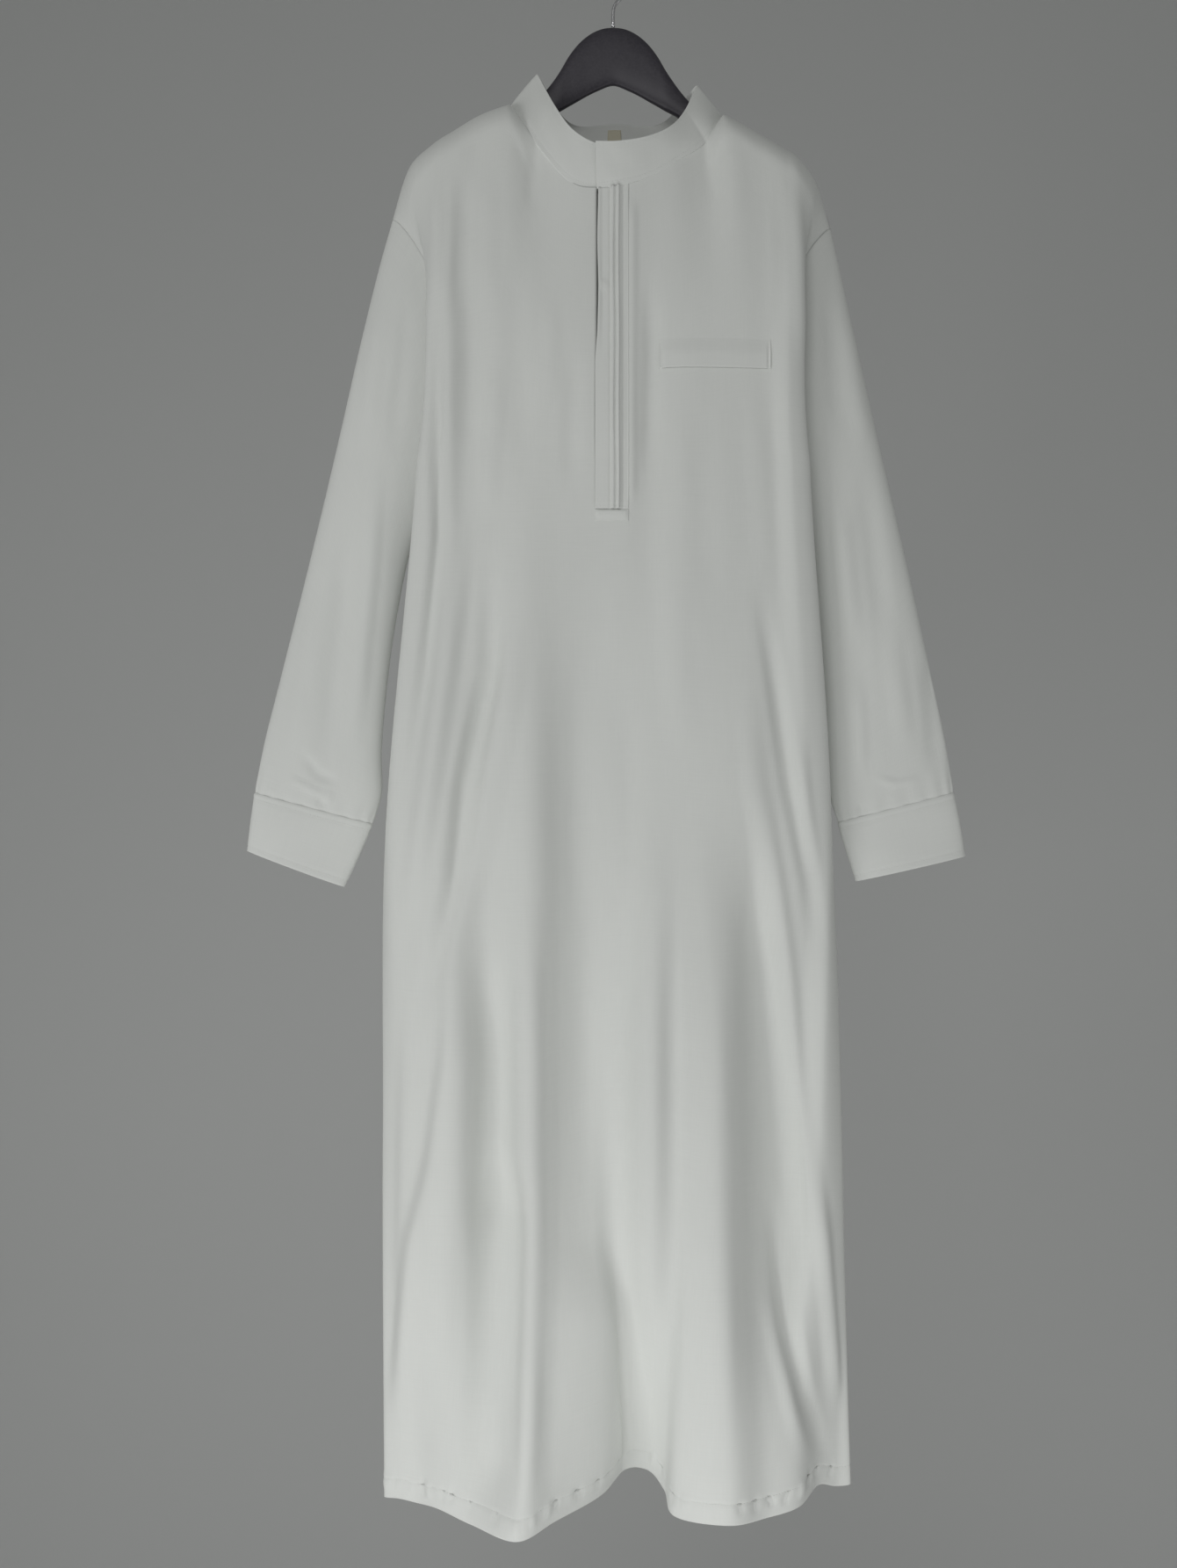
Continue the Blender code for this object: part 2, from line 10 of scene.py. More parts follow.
import logging
import math
import random
from dataclasses import dataclass, field
from enum import Enum
from typing import Callable, Iterable, NamedTuple, Optional, Sequence

import bmesh
import bpy
from mathutils import Matrix, Vector


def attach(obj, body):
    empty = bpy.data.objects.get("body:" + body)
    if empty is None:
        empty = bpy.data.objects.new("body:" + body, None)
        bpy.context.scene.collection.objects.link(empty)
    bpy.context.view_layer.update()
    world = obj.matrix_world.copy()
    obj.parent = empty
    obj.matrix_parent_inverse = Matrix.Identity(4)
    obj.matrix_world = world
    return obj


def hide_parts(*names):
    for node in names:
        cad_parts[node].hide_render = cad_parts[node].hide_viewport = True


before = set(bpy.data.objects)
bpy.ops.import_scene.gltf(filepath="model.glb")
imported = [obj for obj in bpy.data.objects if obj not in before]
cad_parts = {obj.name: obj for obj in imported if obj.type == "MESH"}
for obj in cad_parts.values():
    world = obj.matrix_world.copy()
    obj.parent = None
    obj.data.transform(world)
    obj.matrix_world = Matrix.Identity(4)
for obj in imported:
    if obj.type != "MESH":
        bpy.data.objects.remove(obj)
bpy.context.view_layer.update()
LOG = logging.getLogger("thobe")

MM = 0.001
BODY = "root"
Spot = tuple[float, float]
Place3 = tuple[float, float, float]
Socket = bpy.types.NodeSocket

CHEST_Z = -523.0
LEVELS = (0.0, 0.5, 1.0, 1.313, 1.648, 2.0)  # top, bust, chest, waist, knee and hem
RIDGE = 34.0  # drop over which the cloth rounds over the hanger
RIM = 0.25  # half the gap between front and back along the shoulder
CORNER = 0.12  # v by which the shoulder's corner beside the collar dies away
CORNER_ROUND = 5.0
SEAM_CALM = 16.0  # from a side seam to where the creases have their full depth
NECK_CALM = 0.09  # the same below the top edge, as v
WALL = 0.8
DOUBLE_WALL = 1.7
ON_DOUBLE = 0.42  # from the middle of a double layer to the stitches on its face
LIFT = 1.65  # from the middle of the front to that of a layer sewn on it
HEM_DEPTH = 20.0
ARMHOLE_DEPTH = 22.0
ARMHOLE_HOLLOW = 30.0
OPENING_X = -17.0  # of its free edge, at the chest
OPENING_FOOT = (-4.0, -570.0)
BAND_X = (-18.6, 14.6)
BAND_FOOT = -573.5
UNDERLAP_X = (-25.0, 12.0)
UNDERLAP_FOOT = -578.0
TUCKS = (-0.8, 4.4)
POCKET_X = (44.4, 155.6)
POCKET_Z = (-434.3, -400.6)
LABEL_X = (-4.5, 8.5)


class Side(Enum):
    """The wearer's side, valued by the sign of its X."""

    RIGHT = -1
    LEFT = 1


class Face(Enum):
    """The front or back of the robe, valued by the sign that turns a normal outwards."""

    FRONT = 1
    BACK = -1


TIPS = {Side.RIGHT: (-226.0, -269.0), Side.LEFT: (222.5, -278.0)}
ARMPITS = {Side.RIGHT: (-158.0, CHEST_Z), Side.LEFT: (154.0, CHEST_Z)}


class Fold(NamedTuple):
    """One line of cloth from a panel's top edge to its hem."""

    name: str
    top: Place3
    shelf: float
    bust: Spot
    chest: Spot
    waist: Spot
    knee: Spot
    hem: Place3


# Name, top xyz, y under the ridge, then xy at bust, chest, waist and knee, and xyz at the hem
RIGHT_SEAM = Fold("right seam", (-226, 0, -269), 0, (-158, 0), (-158, 0),
                  (-218, 2), (-230.5, 4), (-227, -1, -1569))
LEFT_SEAM = Fold("left seam", (222.5, 0, -278), 0, (154, 0), (154, 0),
                 (210, 4), (232, 2), (246, 14, -1569))
FRONT = (
    RIGHT_SEAM,
    Fold("right return", (-207, -RIM, -214.5), -22, (-184, -30), (-180, -20),
         (-227.5, -16), (-234, -9), (-232, -13, -1570)),
    Fold("right edge", (-184, -RIM, -194), -30, (-186, -42), (-196, -41),
         (-223, -34), (-222, -22), (-218, -18, -1569)),
    Fold("right side", (-160, -RIM, -178.8), -31, (-168, -51), (-176, -52),
         (-202, -43), (-199, -38), (-201, -20, -1572)),
    Fold("right dip", (-134, -RIM, -163.4), -31, (-142, -45), (-147, -44),
         (-164, -50), (-160, -56), (-175, -36, -1571)),
    Fold("right neck", (-105.5, -RIM, -152.8), -30, (-113, -48), (-121, -49),
         (-134, -47), (-120, -44), (-142, -53, -1578)),
    Fold("right crest", (-78, -28, -200), -33, (-84, -50), (-88, -53),
         (-86, -60), (-79, -64), (-93, -82, -1580)),
    Fold("right slope", (-47, -39, -241), -41, (-54, -51), (-56, -52),
         (-51, -50), (-51, -50), (-61, -62, -1572)),
    Fold("opening right", (-17, -43, -252), -47, (-17, -51), (-17, -52),
         (-12, -42), (-20, -41), (-16, -18, -1563)),
    Fold("opening left", (9, -44, -248.5), -48, (9, -51), (9, -52),
         (14, -43), (2, -39), (4, 12, -1554)),
    Fold("hollow", (35, -41, -239), -46, (36, -49), (34, -49),
         (42, -49), (30, -55), (35, 12, -1554)),
    Fold("left wall", (61, -37, -223), -40, (68, -52), (66, -54),
         (70, -54), (58, -60), (52, -10, -1564.5)),
    Fold("left rise", (92, -25, -198), -33, (99, -51), (101, -53),
         (100, -56), (86, -61), (60, -46, -1573)),
    Fold("left neck", (112.4, -RIM, -163.2), -30, (126, -50), (131, -51),
         (131, -54), (113, -58), (111, -66, -1572.5)),
    Fold("left crest", (147, -RIM, -182.5), -31, (153, -48), (158, -48),
         (165, -46), (146, -38), (151, -46, -1575)),
    Fold("left side", (171, -RIM, -196.5), -31, (174, -51), (177, -53),
         (194, -44), (185, -26), (187, -32, -1570)),
    Fold("left edge", (187, -RIM, -207), -30, (189, -42), (195, -40),
         (216, -33), (210, -32), (210, -2, -1563)),
    Fold("left return", (206, -RIM, -230), -22, (184, -30), (176, -20),
         (217, -16), (230, -16), (229, 10, -1570)),
    LEFT_SEAM,
)

BACK = (
    RIGHT_SEAM,
    Fold("right return", (-207, RIM, -214.5), 22, (-184, 30), (-178, 20),
         (-226.5, 16), (-232, 18), (-230, 14, -1569)),
    Fold("right edge", (-184, RIM, -194), 30, (-190, 40), (-197, 38),
         (-219, 38), (-220, 42), (-213, 44, -1568)),
    Fold("right side", (-147, RIM, -171.2), 30, (-152, 48), (-156, 50),
         (-172, 54), (-172, 66), (-170, 84, -1571)),
    Fold("right neck", (-105.5, RIM, -152.8), 29, (-108, 45), (-112, 46),
         (-122, 46), (-124, 49), (-126, 58, -1567)),
    Fold("right yoke", (-60, 26, -189), 38, (-64, 48), (-68, 50),
         (-77, 58), (-80, 71), (-84, 96, -1572)),
    Fold("middle", (4, 32, -196), 40, (2, 47), (0, 48),
         (-18, 48), (-26, 54), (-34, 66, -1567)),
    Fold("left yoke", (68, 26, -192), 38, (68, 49), (68, 50),
         (58, 58), (40, 71), (26, 97, -1572)),
    Fold("left neck", (112.4, RIM, -163.2), 29, (115, 46), (116, 47),
         (106, 47), (92, 52), (76, 66, -1567)),
    Fold("left side", (149, RIM, -183.6), 30, (153, 48), (156, 50),
         (156, 57), (146, 72), (132, 98, -1572)),
    Fold("left edge", (187, RIM, -207), 30, (188, 40), (194, 38),
         (208, 40), (205, 50), (196, 62, -1568)),
    Fold("left return", (206, RIM, -230), 22, (184, 30), (174, 20),
         (215, 20), (230, 24), (238, 42, -1568)),
    LEFT_SEAM,
)


class Station(NamedTuple):
    """The collar's top edge over one fold line, and how far its layer lies in front (-) or behind (+)."""

    face: Face
    fold: str
    top: Place3
    shift: float


COLLAR = (
    Station(Face.FRONT, "opening right", (-18, -46, -208), -1.7),
    Station(Face.FRONT, "opening left", (5, -47, -208), -1.4),
    Station(Face.FRONT, "hollow", (32, -44, -202), -0.4),
    Station(Face.FRONT, "left wall", (56, -35, -188), 0),
    Station(Face.FRONT, "left rise", (72, -20, -165), 0),
    Station(Face.FRONT, "left neck", (85.4, 0, -130), 0),
    Station(Face.BACK, "left yoke", (50, 28, -157), 0),
    Station(Face.BACK, "middle", (4, 36, -154), 0),
    Station(Face.BACK, "right yoke", (-45, 28, -156), 0),
    Station(Face.FRONT, "right neck", (-77.6, 0, -118.6), 0),
    Station(Face.FRONT, "right crest", (-59, -24, -162), 0),
    Station(Face.FRONT, "right slope", (-41, -38, -192), 0),
    Station(Face.FRONT, "opening right", (-18, -45, -208), 1.5),
    Station(Face.FRONT, "opening left", (3, -45, -208), 1.8),
)
COLLAR_TURNS = (0, 5, 9, 13)  # stations where the top edge changes to a new curve
COLLAR_END = COLLAR_TURNS[-1]
COLLAR_BACK = 7  # station at the middle of the back


class Ring(NamedTuple):
    """A section of both sleeves, from the armhole at 0 to the cuff seam at 1."""

    along: float
    bow_right: float
    bow_left: float
    inner_right: float
    inner_left: float
    depth: float
    hollow: float


SLEEVE = (
    # how far along, outer edge's bow, inner edge's x, half depth, dishing of the ring
    Ring(0.00, 0.0, 0.0, -158, 154, ARMHOLE_DEPTH, ARMHOLE_HOLLOW),
    Ring(0.08, 1.6, 0.2, -184, 181, 20, 15),
    Ring(0.20, 2.0, 0.6, -204, 195, 18, 5),
    Ring(0.40, 0.6, 1.6, -221, 205, 17, 0),
    Ring(0.60, 0.5, 3.2, -231.5, 213, 15, 0),
    Ring(0.80, 1.8, 3.4, -237.5, 218, 13, 0),
    Ring(0.92, 2.4, 3.0, -238, 222, 11, 0),
    Ring(1.00, 0.0, 0.0, -247.5, 231.3, 8.5, 0),
)
# Outer and inner corners, x and z, of each cuff's seam and its open end
CUFFS = {
    Side.RIGHT: ((-367, -857), (-247.5, -889), (-374, -914.5), (-276, -951)),
    Side.LEFT: ((348.6, -857), (231.3, -887), (360, -920), (249.3, -945.3)),
}
CUFF_DEPTH = (8.5, 11.0)


@dataclass(frozen=True)
class Crease:
    """A soft trough or ridge in the cloth, drawn as it is seen from in front, in x and z."""

    path: tuple[Spot, ...]
    rise: float  # out of the cloth, negative for a trough
    low: float  # reach towards -X
    high: float  # reach towards +X
    fade: float = 0.35  # share of its length over which each end dies away
    face: Face = Face.FRONT

    def lift(self, x: float, z: float) -> float:
        """How far the crease moves the cloth out at one place.

        Args:
            x: place across the robe.
            z: height.

        Returns:
            The distance out of the cloth, negative inwards.
        """
        reach = max(self.low, self.high)
        xs, zs = zip(*self.path)
        if not (min(xs) - reach < x < max(xs) + reach and min(zs) - reach < z < max(zs) + reach):
            return 0.0
        best, aside, along, run = reach, 0.0, 0.0, 0.0
        for (x0, z0), (x1, z1) in zip(self.path, self.path[1:]):
            length = math.hypot(x1 - x0, z1 - z0)
            ux, uz = (x1 - x0) / length, (z1 - z0) / length
            s = max(0.0, min(length, (x - x0) * ux + (z - z0) * uz))
            off = math.hypot(x - x0 - ux * s, z - z0 - uz * s)
            if off < best:
                best, along = off, run + s
                aside = (z - z0) * ux - (x - x0) * uz
            run += length
        width = self.high if aside > 0 else self.low
        if best >= width:
            return 0.0
        ends = min(along, run - along) / (run * self.fade)
        return self.rise * smooth(ends) * (0.5 + 0.5 * math.cos(math.pi * best / width))


def creases(face: Face, *rows: tuple) -> tuple[Crease, ...]:
    """Creases of one face, from rows of a path, a rise, a reach either way and perhaps a fade."""
    return tuple(Crease(*row, face=face) for row in rows)


FRONT_CREASES = creases(
    Face.FRONT,
    # beside the right-hand edge, from the armhole down
    (((-172, -330), (-176, -470), (-174, -600), (-188, -730), (-204, -850), (-210, -900)), -7.5, 12, 16),
    (((-150, -560), (-153, -630), (-166, -730), (-183, -850), (-198, -940), (-206, -1010)), 6.5, 19, 17),
    (((-120, -590), (-121, -730), (-148, -850), (-158, -940), (-178, -1030), (-196, -1110)), -8.5, 18,
      19),
    (((-97, -660), (-108, -765), (-122, -850), (-137, -940), (-152, -1010)), 5.4, 19, 22),
    (((-152, -990), (-160, -1120), (-174, -1218), (-194, -1305), (-204, -1392), (-213, -1461),
      (-220, -1520)), 10.0, 20, 56, 0.25),
    # beside the crest of the large right-hand fold
    (((-126, -990), (-122, -1120), (-120, -1218), (-122, -1320)), -6.0, 36, 30),
    (((-114, -1200), (-111, -1320), (-112, -1392), (-115, -1461), (-121, -1530), (-129, -1590)), -15.0,
      40, 44, 0.2),
    (((-203, -1040), (-207, -1200), (-210, -1350), (-213, -1490)), 4.0, 16, 25),
    (((-86, -940), (-84, -1120), (-84, -1305), (-86, -1420), (-90, -1560)), 5.0, 22, 20, 0.25),
    # between the crest and the middle
    (((-34, -620), (-34, -850), (-30, -940), (-28, -1115), (-26, -1230), (-24, -1340)), -8.0, 48, 42),
    (((-22, -1290), (-14, -1400), (-6, -1500), (-2, -1610)), 13.0, 62, 30, 0.3),
    (((-22, -700), (-18, -860), (-20, -1010)), 1.6, 24, 22),
    (((4, -700), (12, -840), (16, -960)), -0.9, 17, 22),
    # left of the middle
    (((38, -860), (40, -1000), (41, -1200), (42, -1400), (40, -1530)), 7.0, 34, 24, 0.3),
    (((50, -940), (53, -1100), (54, -1300), (54, -1480)), -3.8, 17, 19),
    (((92, -980), (97, -1120), (100, -1250), (104, -1420), (106, -1530)), 4.2, 34, 24),
    (((128, -820), (142, -940), (153, -1026), (163, -1122), (173, -1218), (177, -1305), (171, -1392),
      (169, -1490)), -15.0, 60, 24, 0.3),
    # drags towards the left-hand edge
    (((127, -720), (140, -850), (157, -940), (170, -1026), (180, -1122), (192, -1218), (208, -1305),
      (214, -1392)), 4.4, 18, 18),
    (((142, -640), (158, -730), (176, -850), (195, -940), (205, -1030)), -5.4, 14, 14),
    (((180, -780), (190, -870), (203, -960)), 2.2, 12, 12),
    (((164, -1250), (169, -1300), (178, -1392), (192, -1461), (208, -1514), (222, -1550)), -7.5, 15, 13),
    (((150, -1330), (164, -1410), (180, -1480), (196, -1535)), 2.6, 13, 12),
    (((206, -1240), (214, -1320), (222, -1400), (232, -1500)), 4.6, 15, 10, 0.3),
    # from the ends of the collar
    (((92, -176), (94, -215), (99, -275)), -0.8, 12, 12),
    (((119, -190), (121, -230), (124, -300)), 0.6, 12, 16),
    (((-78, -190), (-80, -225), (-84, -280)), -1.4, 11, 12),
    # chest, either side of the placket
    (((36, -330), (37, -410), (36, -490), (32, -570)), -3.6, 12, 18),
    (((18, -262), (17.5, -400), (17, -575)), 2.0, 4.5, 8, 0.08),
    (((-38, -400), (-41, -470), (-44, -565)), -1.8, 15, 16),
    (((-63, -350), (-62, -420), (-66, -490)), 1.2, 16, 14),
    (((-100, -280), (-97, -400), (-88, -570)), -1.8, 24, 21),
    (((-117, -420), (-122, -500), (-126, -590)), 2.6, 15, 17),
    (((-128, -215), (-126, -290), (-130, -390)), 1.6, 20, 17),
    (((-152, -215), (-152, -290), (-156, -400)), -2.6, 14, 15),
    (((-178, -225), (-176, -300), (-177, -390)), 2.0, 11, 11),
    (((184, -250), (187, -330), (186, -440)), 1.8, 11, 10),
    (((166, -235), (168, -320), (166, -430)), -2.0, 14, 14),
    (((140, -440), (148, -560), (154, -680)), 1.8, 20, 17),
    (((84, -450), (88, -590), (94, -700)), -1.4, 22, 25),
    (((52, -570), (60, -700), (74, -840)), 1.4, 25, 22),
    # low, near the hem
    (((-118, -1440), (-113, -1500), (-112, -1565)), 1.8, 18, 17),
    (((-62, -1400), (-68, -1490), (-74, -1560)), -1.6, 16, 20),
)

BACK_CREASES = creases(
    Face.BACK,
    (((-162, -300), (-170, -450), (-182, -600), (-196, -760)), -4.8, 17, 16),
    (((-128, -520), (-136, -640), (-150, -790), (-158, -900)), 4.1, 17, 16),
    (((-96, -610), (-104, -760), (-112, -900), (-110, -1040)), -4.4, 19, 16),
    (((-40, -700), (-52, -880), (-60, -1050), (-58, -1230)), 3.7, 20, 17),
    (((-12, -260), (-8, -360), (-14, -470)), 2.0, 20, 17),
    (((22, -300), (18, -430), (24, -590)), -2.7, 21, 18),
    (((36, -760), (24, -930), (8, -1120), (-4, -1300)), -4.1, 19, 24),
    (((92, -420), (96, -560), (88, -720)), 3.1, 20, 17),
    (((112, -700), (104, -860), (100, -1010)), -4.1, 16, 19),
    (((152, -560), (160, -700), (170, -860)), 4.1, 16, 14),
    (((176, -430), (182, -560), (190, -700)), -4.4, 14, 14),
    (((124, -1020), (114, -1180), (108, -1340)), 4.4, 19, 22),
    (((160, -960), (166, -1110), (162, -1290)), -4.8, 19, 19),
    (((-146, -1040), (-150, -1210), (-146, -1380)), -5.1, 20, 22),
    (((-196, -980), (-198, -1140), (-200, -1330)), 3.7, 14, 17),
    (((-112, -1230), (-106, -1370), (-104, -1500)), 3.4, 17, 17),
    (((52, -1240), (44, -1380), (46, -1500)), -3.4, 17, 18),
    (((188, -1280), (184, -1400), (176, -1510)), 3.7, 15, 17),
    (((-26, -1380), (-34, -1460), (-34, -1540)), -3.1, 20, 20),
)

SLEEVE_CREASES = {
    Side.RIGHT: creases(
        Face.FRONT,
        (((-266, -560), (-276, -680), (-288, -780), (-300, -850)), -3.8, 20, 17),
        (((-238, -500), (-246, -620), (-258, -740), (-268, -830)), 2.8, 14, 13),
        (((-205, -330), (-214, -420), (-226, -520)), -2.2, 13, 16),
        (((-232, -330), (-244, -430), (-252, -520)), 2.0, 16, 16),
        (((-300, -640), (-312, -740), (-330, -830)), 1.8, 18, 16),
        (((-318, -812), (-300, -836), (-276, -846)), -1.6, 9, 9),
        (((-334, -838), (-306, -852), (-286, -866)), 1.2, 6, 6),
        (((-300, -855), (-297, -872)), -2.0, 4, 5),
        (((-290, -850), (-288, -870)), 1.5, 4, 4),
    ) + creases(
        Face.BACK,
        (((-224, -360), (-240, -480), (-262, -600)), -2.8, 16, 16),
        (((-250, -540), (-268, -680), (-284, -800)), 2.8, 16, 16),
        (((-290, -620), (-306, -740), (-318, -840)), -2.5, 16, 14),
    ),
    Side.LEFT: creases(
        Face.FRONT,
        (((226, -540), (236, -640), (246, -720)), 3.0, 13, 17),
        (((250, -500), (268, -640), (290, -760)), -2.2, 18, 18),
        (((246, -730), (250, -790), (252, -850)), 2.2, 12, 12),
        (((272, -640), (288, -740), (300, -830)), 2.0, 17, 16),
        (((214, -330), (222, -420), (228, -510)), -2.0, 12, 16),
        (((232, -340), (244, -430), (258, -520)), 1.8, 16, 16),
        (((318, -700), (326, -780), (330, -850)), -1.8, 16, 13),
        (((262, -838), (286, -846), (316, -840)), 1.2, 6, 6),
        (((250, -862), (252, -884)), -1.5, 4, 5),
    ) + creases(
        Face.BACK,
        (((224, -380), (240, -500), (256, -620)), -2.8, 16, 16),
        (((252, -560), (268, -690), (282, -810)), 2.8, 16, 16),
        (((290, -640), (302, -740), (316, -840)), -2.2, 16, 14),
    ),
}


def smooth(t: float) -> float:
    """Ease from 0 to 1 as t does, level at both ends."""
    t = max(0.0, min(1.0, t))
    return t * t * (3 - 2 * t)


def hermite(p0, p1, m0, m1, h: float, s: float):
    """Cubic between p0 and p1 with slopes m0 and m1 over a span h, at s from 0 to 1."""
    a = 2 * s**3 - 3 * s**2 + 1
    b = s**3 - 2 * s**2 + s
    return p0 * a + m0 * (b * h) + p1 * (1 - a) + m1 * ((s**3 - s**2) * h)


def slope(before, here, after, h0: float, h1: float):
    """Slope at the middle one of three values, h0 and h1 apart."""
    return ((here - before) * (h1 / h0) + (after - here) * (h0 / h1)) / (h0 + h1)


def through(knots: Sequence[float], values: Sequence, t: float):
    """Smooth curve through values at knots.

    Args:
        knots: rising positions.
        values: a number or vector at each.
        t: where the curve is read.

    Returns:
        The value at t.
    """
    last = len(knots) - 2
    i = max(0, min(last, sum(k <= t for k in knots) - 1))
    h = knots[i + 1] - knots[i]
    m0 = m1 = (values[i + 1] - values[i]) / h
    if i > 0:
        m0 = slope(values[i - 1], values[i], values[i + 1], knots[i] - knots[i - 1], h)
    if i < last:
        m1 = slope(values[i], values[i + 1], values[i + 2], h, knots[i + 2] - knots[i + 1])
    return hermite(values[i], values[i + 1], m0, m1, h, (t - knots[i]) / h)


def oval(outer: Spot, inner: Spot, depth: float, hollow: float, angle: float, inset: float = 0.0) -> Vector:
    """Point of a flattened ring.

    Args:
        outer: x and z of its outer corner.
        inner: x and z of its inner corner.
        depth: half its depth.
        hollow: how far its flats are dished inwards.
        angle: place round it, from the outer corner and down the front.
        inset: how far the point is set in from the rim.

    Returns:
        The point.
    """
    out, inn = Vector((outer[0], 0, outer[1])), Vector((inner[0], 0, inner[1]))
    axis = (out - inn) / 2
    side = 1 if out.x > 0 else -1
    inward = Vector((-side * abs(axis.z), 0, side * axis.x)).normalized()
    sine, cosine = math.sin(angle), math.cos(angle)
    point = (out + inn) / 2 + axis * cosine + inward * (hollow * abs(sine) ** 1.5)
    off = Vector((cosine / axis.length, sine / depth)).normalized() * inset
    return point - axis.normalized() * off.x + Vector((0, off.y - depth * sine, 0))


def spread(knots: Sequence[float], pace: float) -> list[float]:
    """Positions from the first knot to the last that keep every knot and are about pace apart."""
    steps = []
    for a, b in zip(knots, knots[1:]):
        parts = max(1, math.ceil((b - a) / pace - 0.01))
        steps += [a + (b - a) * i / parts for i in range(parts)]
    return steps + [knots[-1]]


def evenly(low: float, high: float, parts: int) -> list[float]:
    """Positions from low to high in equal parts."""
    return [low + (high - low) * i / parts for i in range(parts + 1)]


class Panel:
    """A body panel drawn through its fold lines: u runs across in millimetres, v from the top to the hem."""

    def __init__(self, folds: Sequence[Fold], face: Face, creases: Sequence[Crease]) -> None:
        """Place the fold lines across the panel by their mean distances apart."""
        self.folds = folds
        self.face = face
        self.creases = creases
        self.other: Optional[Panel] = None
        self.lines: dict[tuple[int, float], Vector] = {}
        self.knots = [0.0]
        for here, after in zip(folds, folds[1:]):
            gaps = [math.dist(here[k][:2], after[k][:2]) for k in range(3, 8)]
            self.knots.append(self.knots[-1] + sum(gaps) / len(gaps))

    def u_of(self, name: str) -> float:
        """Position across the panel of a named fold line."""
        return self.knots[[f.name for f in self.folds].index(name)]

    def line(self, i: int, v: float) -> Vector:
        """Point of fold line i at v, kept for the next call."""
        if (i, v) not in self.lines:
            self.lines[i, v] = self.find_line(i, v)
        return self.lines[i, v]

    def find_line(self, i: int, v: float) -> Vector:
        """Point of fold line i at v."""
        fold = self.folds[i]
        if v < 1 and i in (0, len(self.folds) - 1):
            side = Side.RIGHT if i == 0 else Side.LEFT
            angle = self.face.value * math.acos(1 - 2 * v)
            edge = oval(TIPS[side], ARMPITS[side], ARMHOLE_DEPTH, ARMHOLE_HOLLOW, angle)
            return edge - Vector((0, self.face.value * RIM, 0))
        shoulder = abs(fold.top[1]) < 1
        spots = (fold.top, fold.bust, fold.chest, fold.waist, fold.knee, fold.hem)
        xs = [k[0] for k in spots]
        ys = [k[1] for k in spots]
        if shoulder:
            ys[0] = fold.shelf
        x, y = through(LEVELS, xs, v), through(LEVELS, ys, v)
        if v >= 1:
            return Vector((x, y, CHEST_Z + (fold.hem[2] - CHEST_Z) * (v - 1)))
        drop = v * (fold.top[2] - CHEST_Z)
        if shoulder:
            off = 1 - min(drop / RIDGE, 1)
            y = fold.top[1] + (y - fold.top[1]) * math.sqrt(1 - off * off)
        return Vector((x, y, fold.top[2] - drop))

    def beyond(self, i: int, v: float) -> Vector:
        """Point one fold line past a seam, on the other panel."""
        n, m = len(self.folds) - 1, len(self.other.folds) - 1
        edge, far, step = (0, 0, 1) if i < 0 else (n, m, m - 1)
        return self.line(edge, v) + self.other.line(step, v) - self.other.line(far, v)

    def point(self, u: float, v: float) -> Vector:
        """Point of the panel's main form."""
        k = self.knots
        last = len(k) - 2
        i = max(0, min(last, sum(q <= u for q in k) - 1))
        h = k[i + 1] - k[i]
        p0, p1 = self.line(i, v), self.line(i + 1, v)
        before = self.line(i - 1, v) if i > 0 else self.beyond(-1, v)
        after = self.line(i + 2, v) if i < last else self.beyond(last + 2, v)
        h0 = k[i] - k[i - 1] if i > 0 else self.other.knots[1]
        h1 = k[i + 2] - k[i + 1] if i < last else self.other.knots[-1] - self.other.knots[-2]
        m0, m1 = slope(before, p0, p1, h0, h), slope(p0, p1, after, h, h1)
        sharp = max(0.0, 1 - v / CORNER)
        rise = (p1 - p0) / h
        s, bow = (u - k[i]) / h, 0.0
        if sharp and self.folds[i].name.endswith("neck"):
            m0 = m0.lerp(rise, sharp)
            bow = 4 * s * (1 - s) * sharp * (abs(self.folds[i + 1].top[1]) > 1)
        if sharp and self.folds[i + 1].name.endswith("neck"):
            m1 = m1.lerp(rise, sharp)
            bow = 4 * s * (1 - s) * sharp * (abs(self.folds[i].top[1]) > 1)
        return hermite(p0, p1, m0, m1, h, s) - Vector((0, self.face.value * bow * CORNER_ROUND, 0))

    def normal(self, u: float, v: float) -> Vector:
        """Direction out of the cloth, away from the body."""
        du = self.point(u + 0.5, v) - self.point(u - 0.5, v)
        dv = self.point(u, max(v, 0.003) + 0.003) - self.point(u, max(v - 0.003, 0))
        n = du.cross(dv).normalized()
        return -n * self.face.value if self.face is Face.FRONT else n

    def lift(self, u: float, v: float, place: Vector) -> float:
        """How far the creases move the cloth out, dying away at the seams, the neck and the shoulder."""
        edge = min(u, self.knots[-1] - u) / SEAM_CALM
        calm = smooth(edge) * smooth(v / NECK_CALM)
        if not calm:
            return 0.0
        return calm * sum(c.lift(place.x, place.z) for c in self.creases)

    def surface(self, u: float, v: float, out: float = 0.0) -> Vector:
        """Point of the creased cloth, or of what lies out from it."""
        place, up = self.point(u, v), self.normal(u, v)
        return place + up * (self.lift(u, v, place) + out)

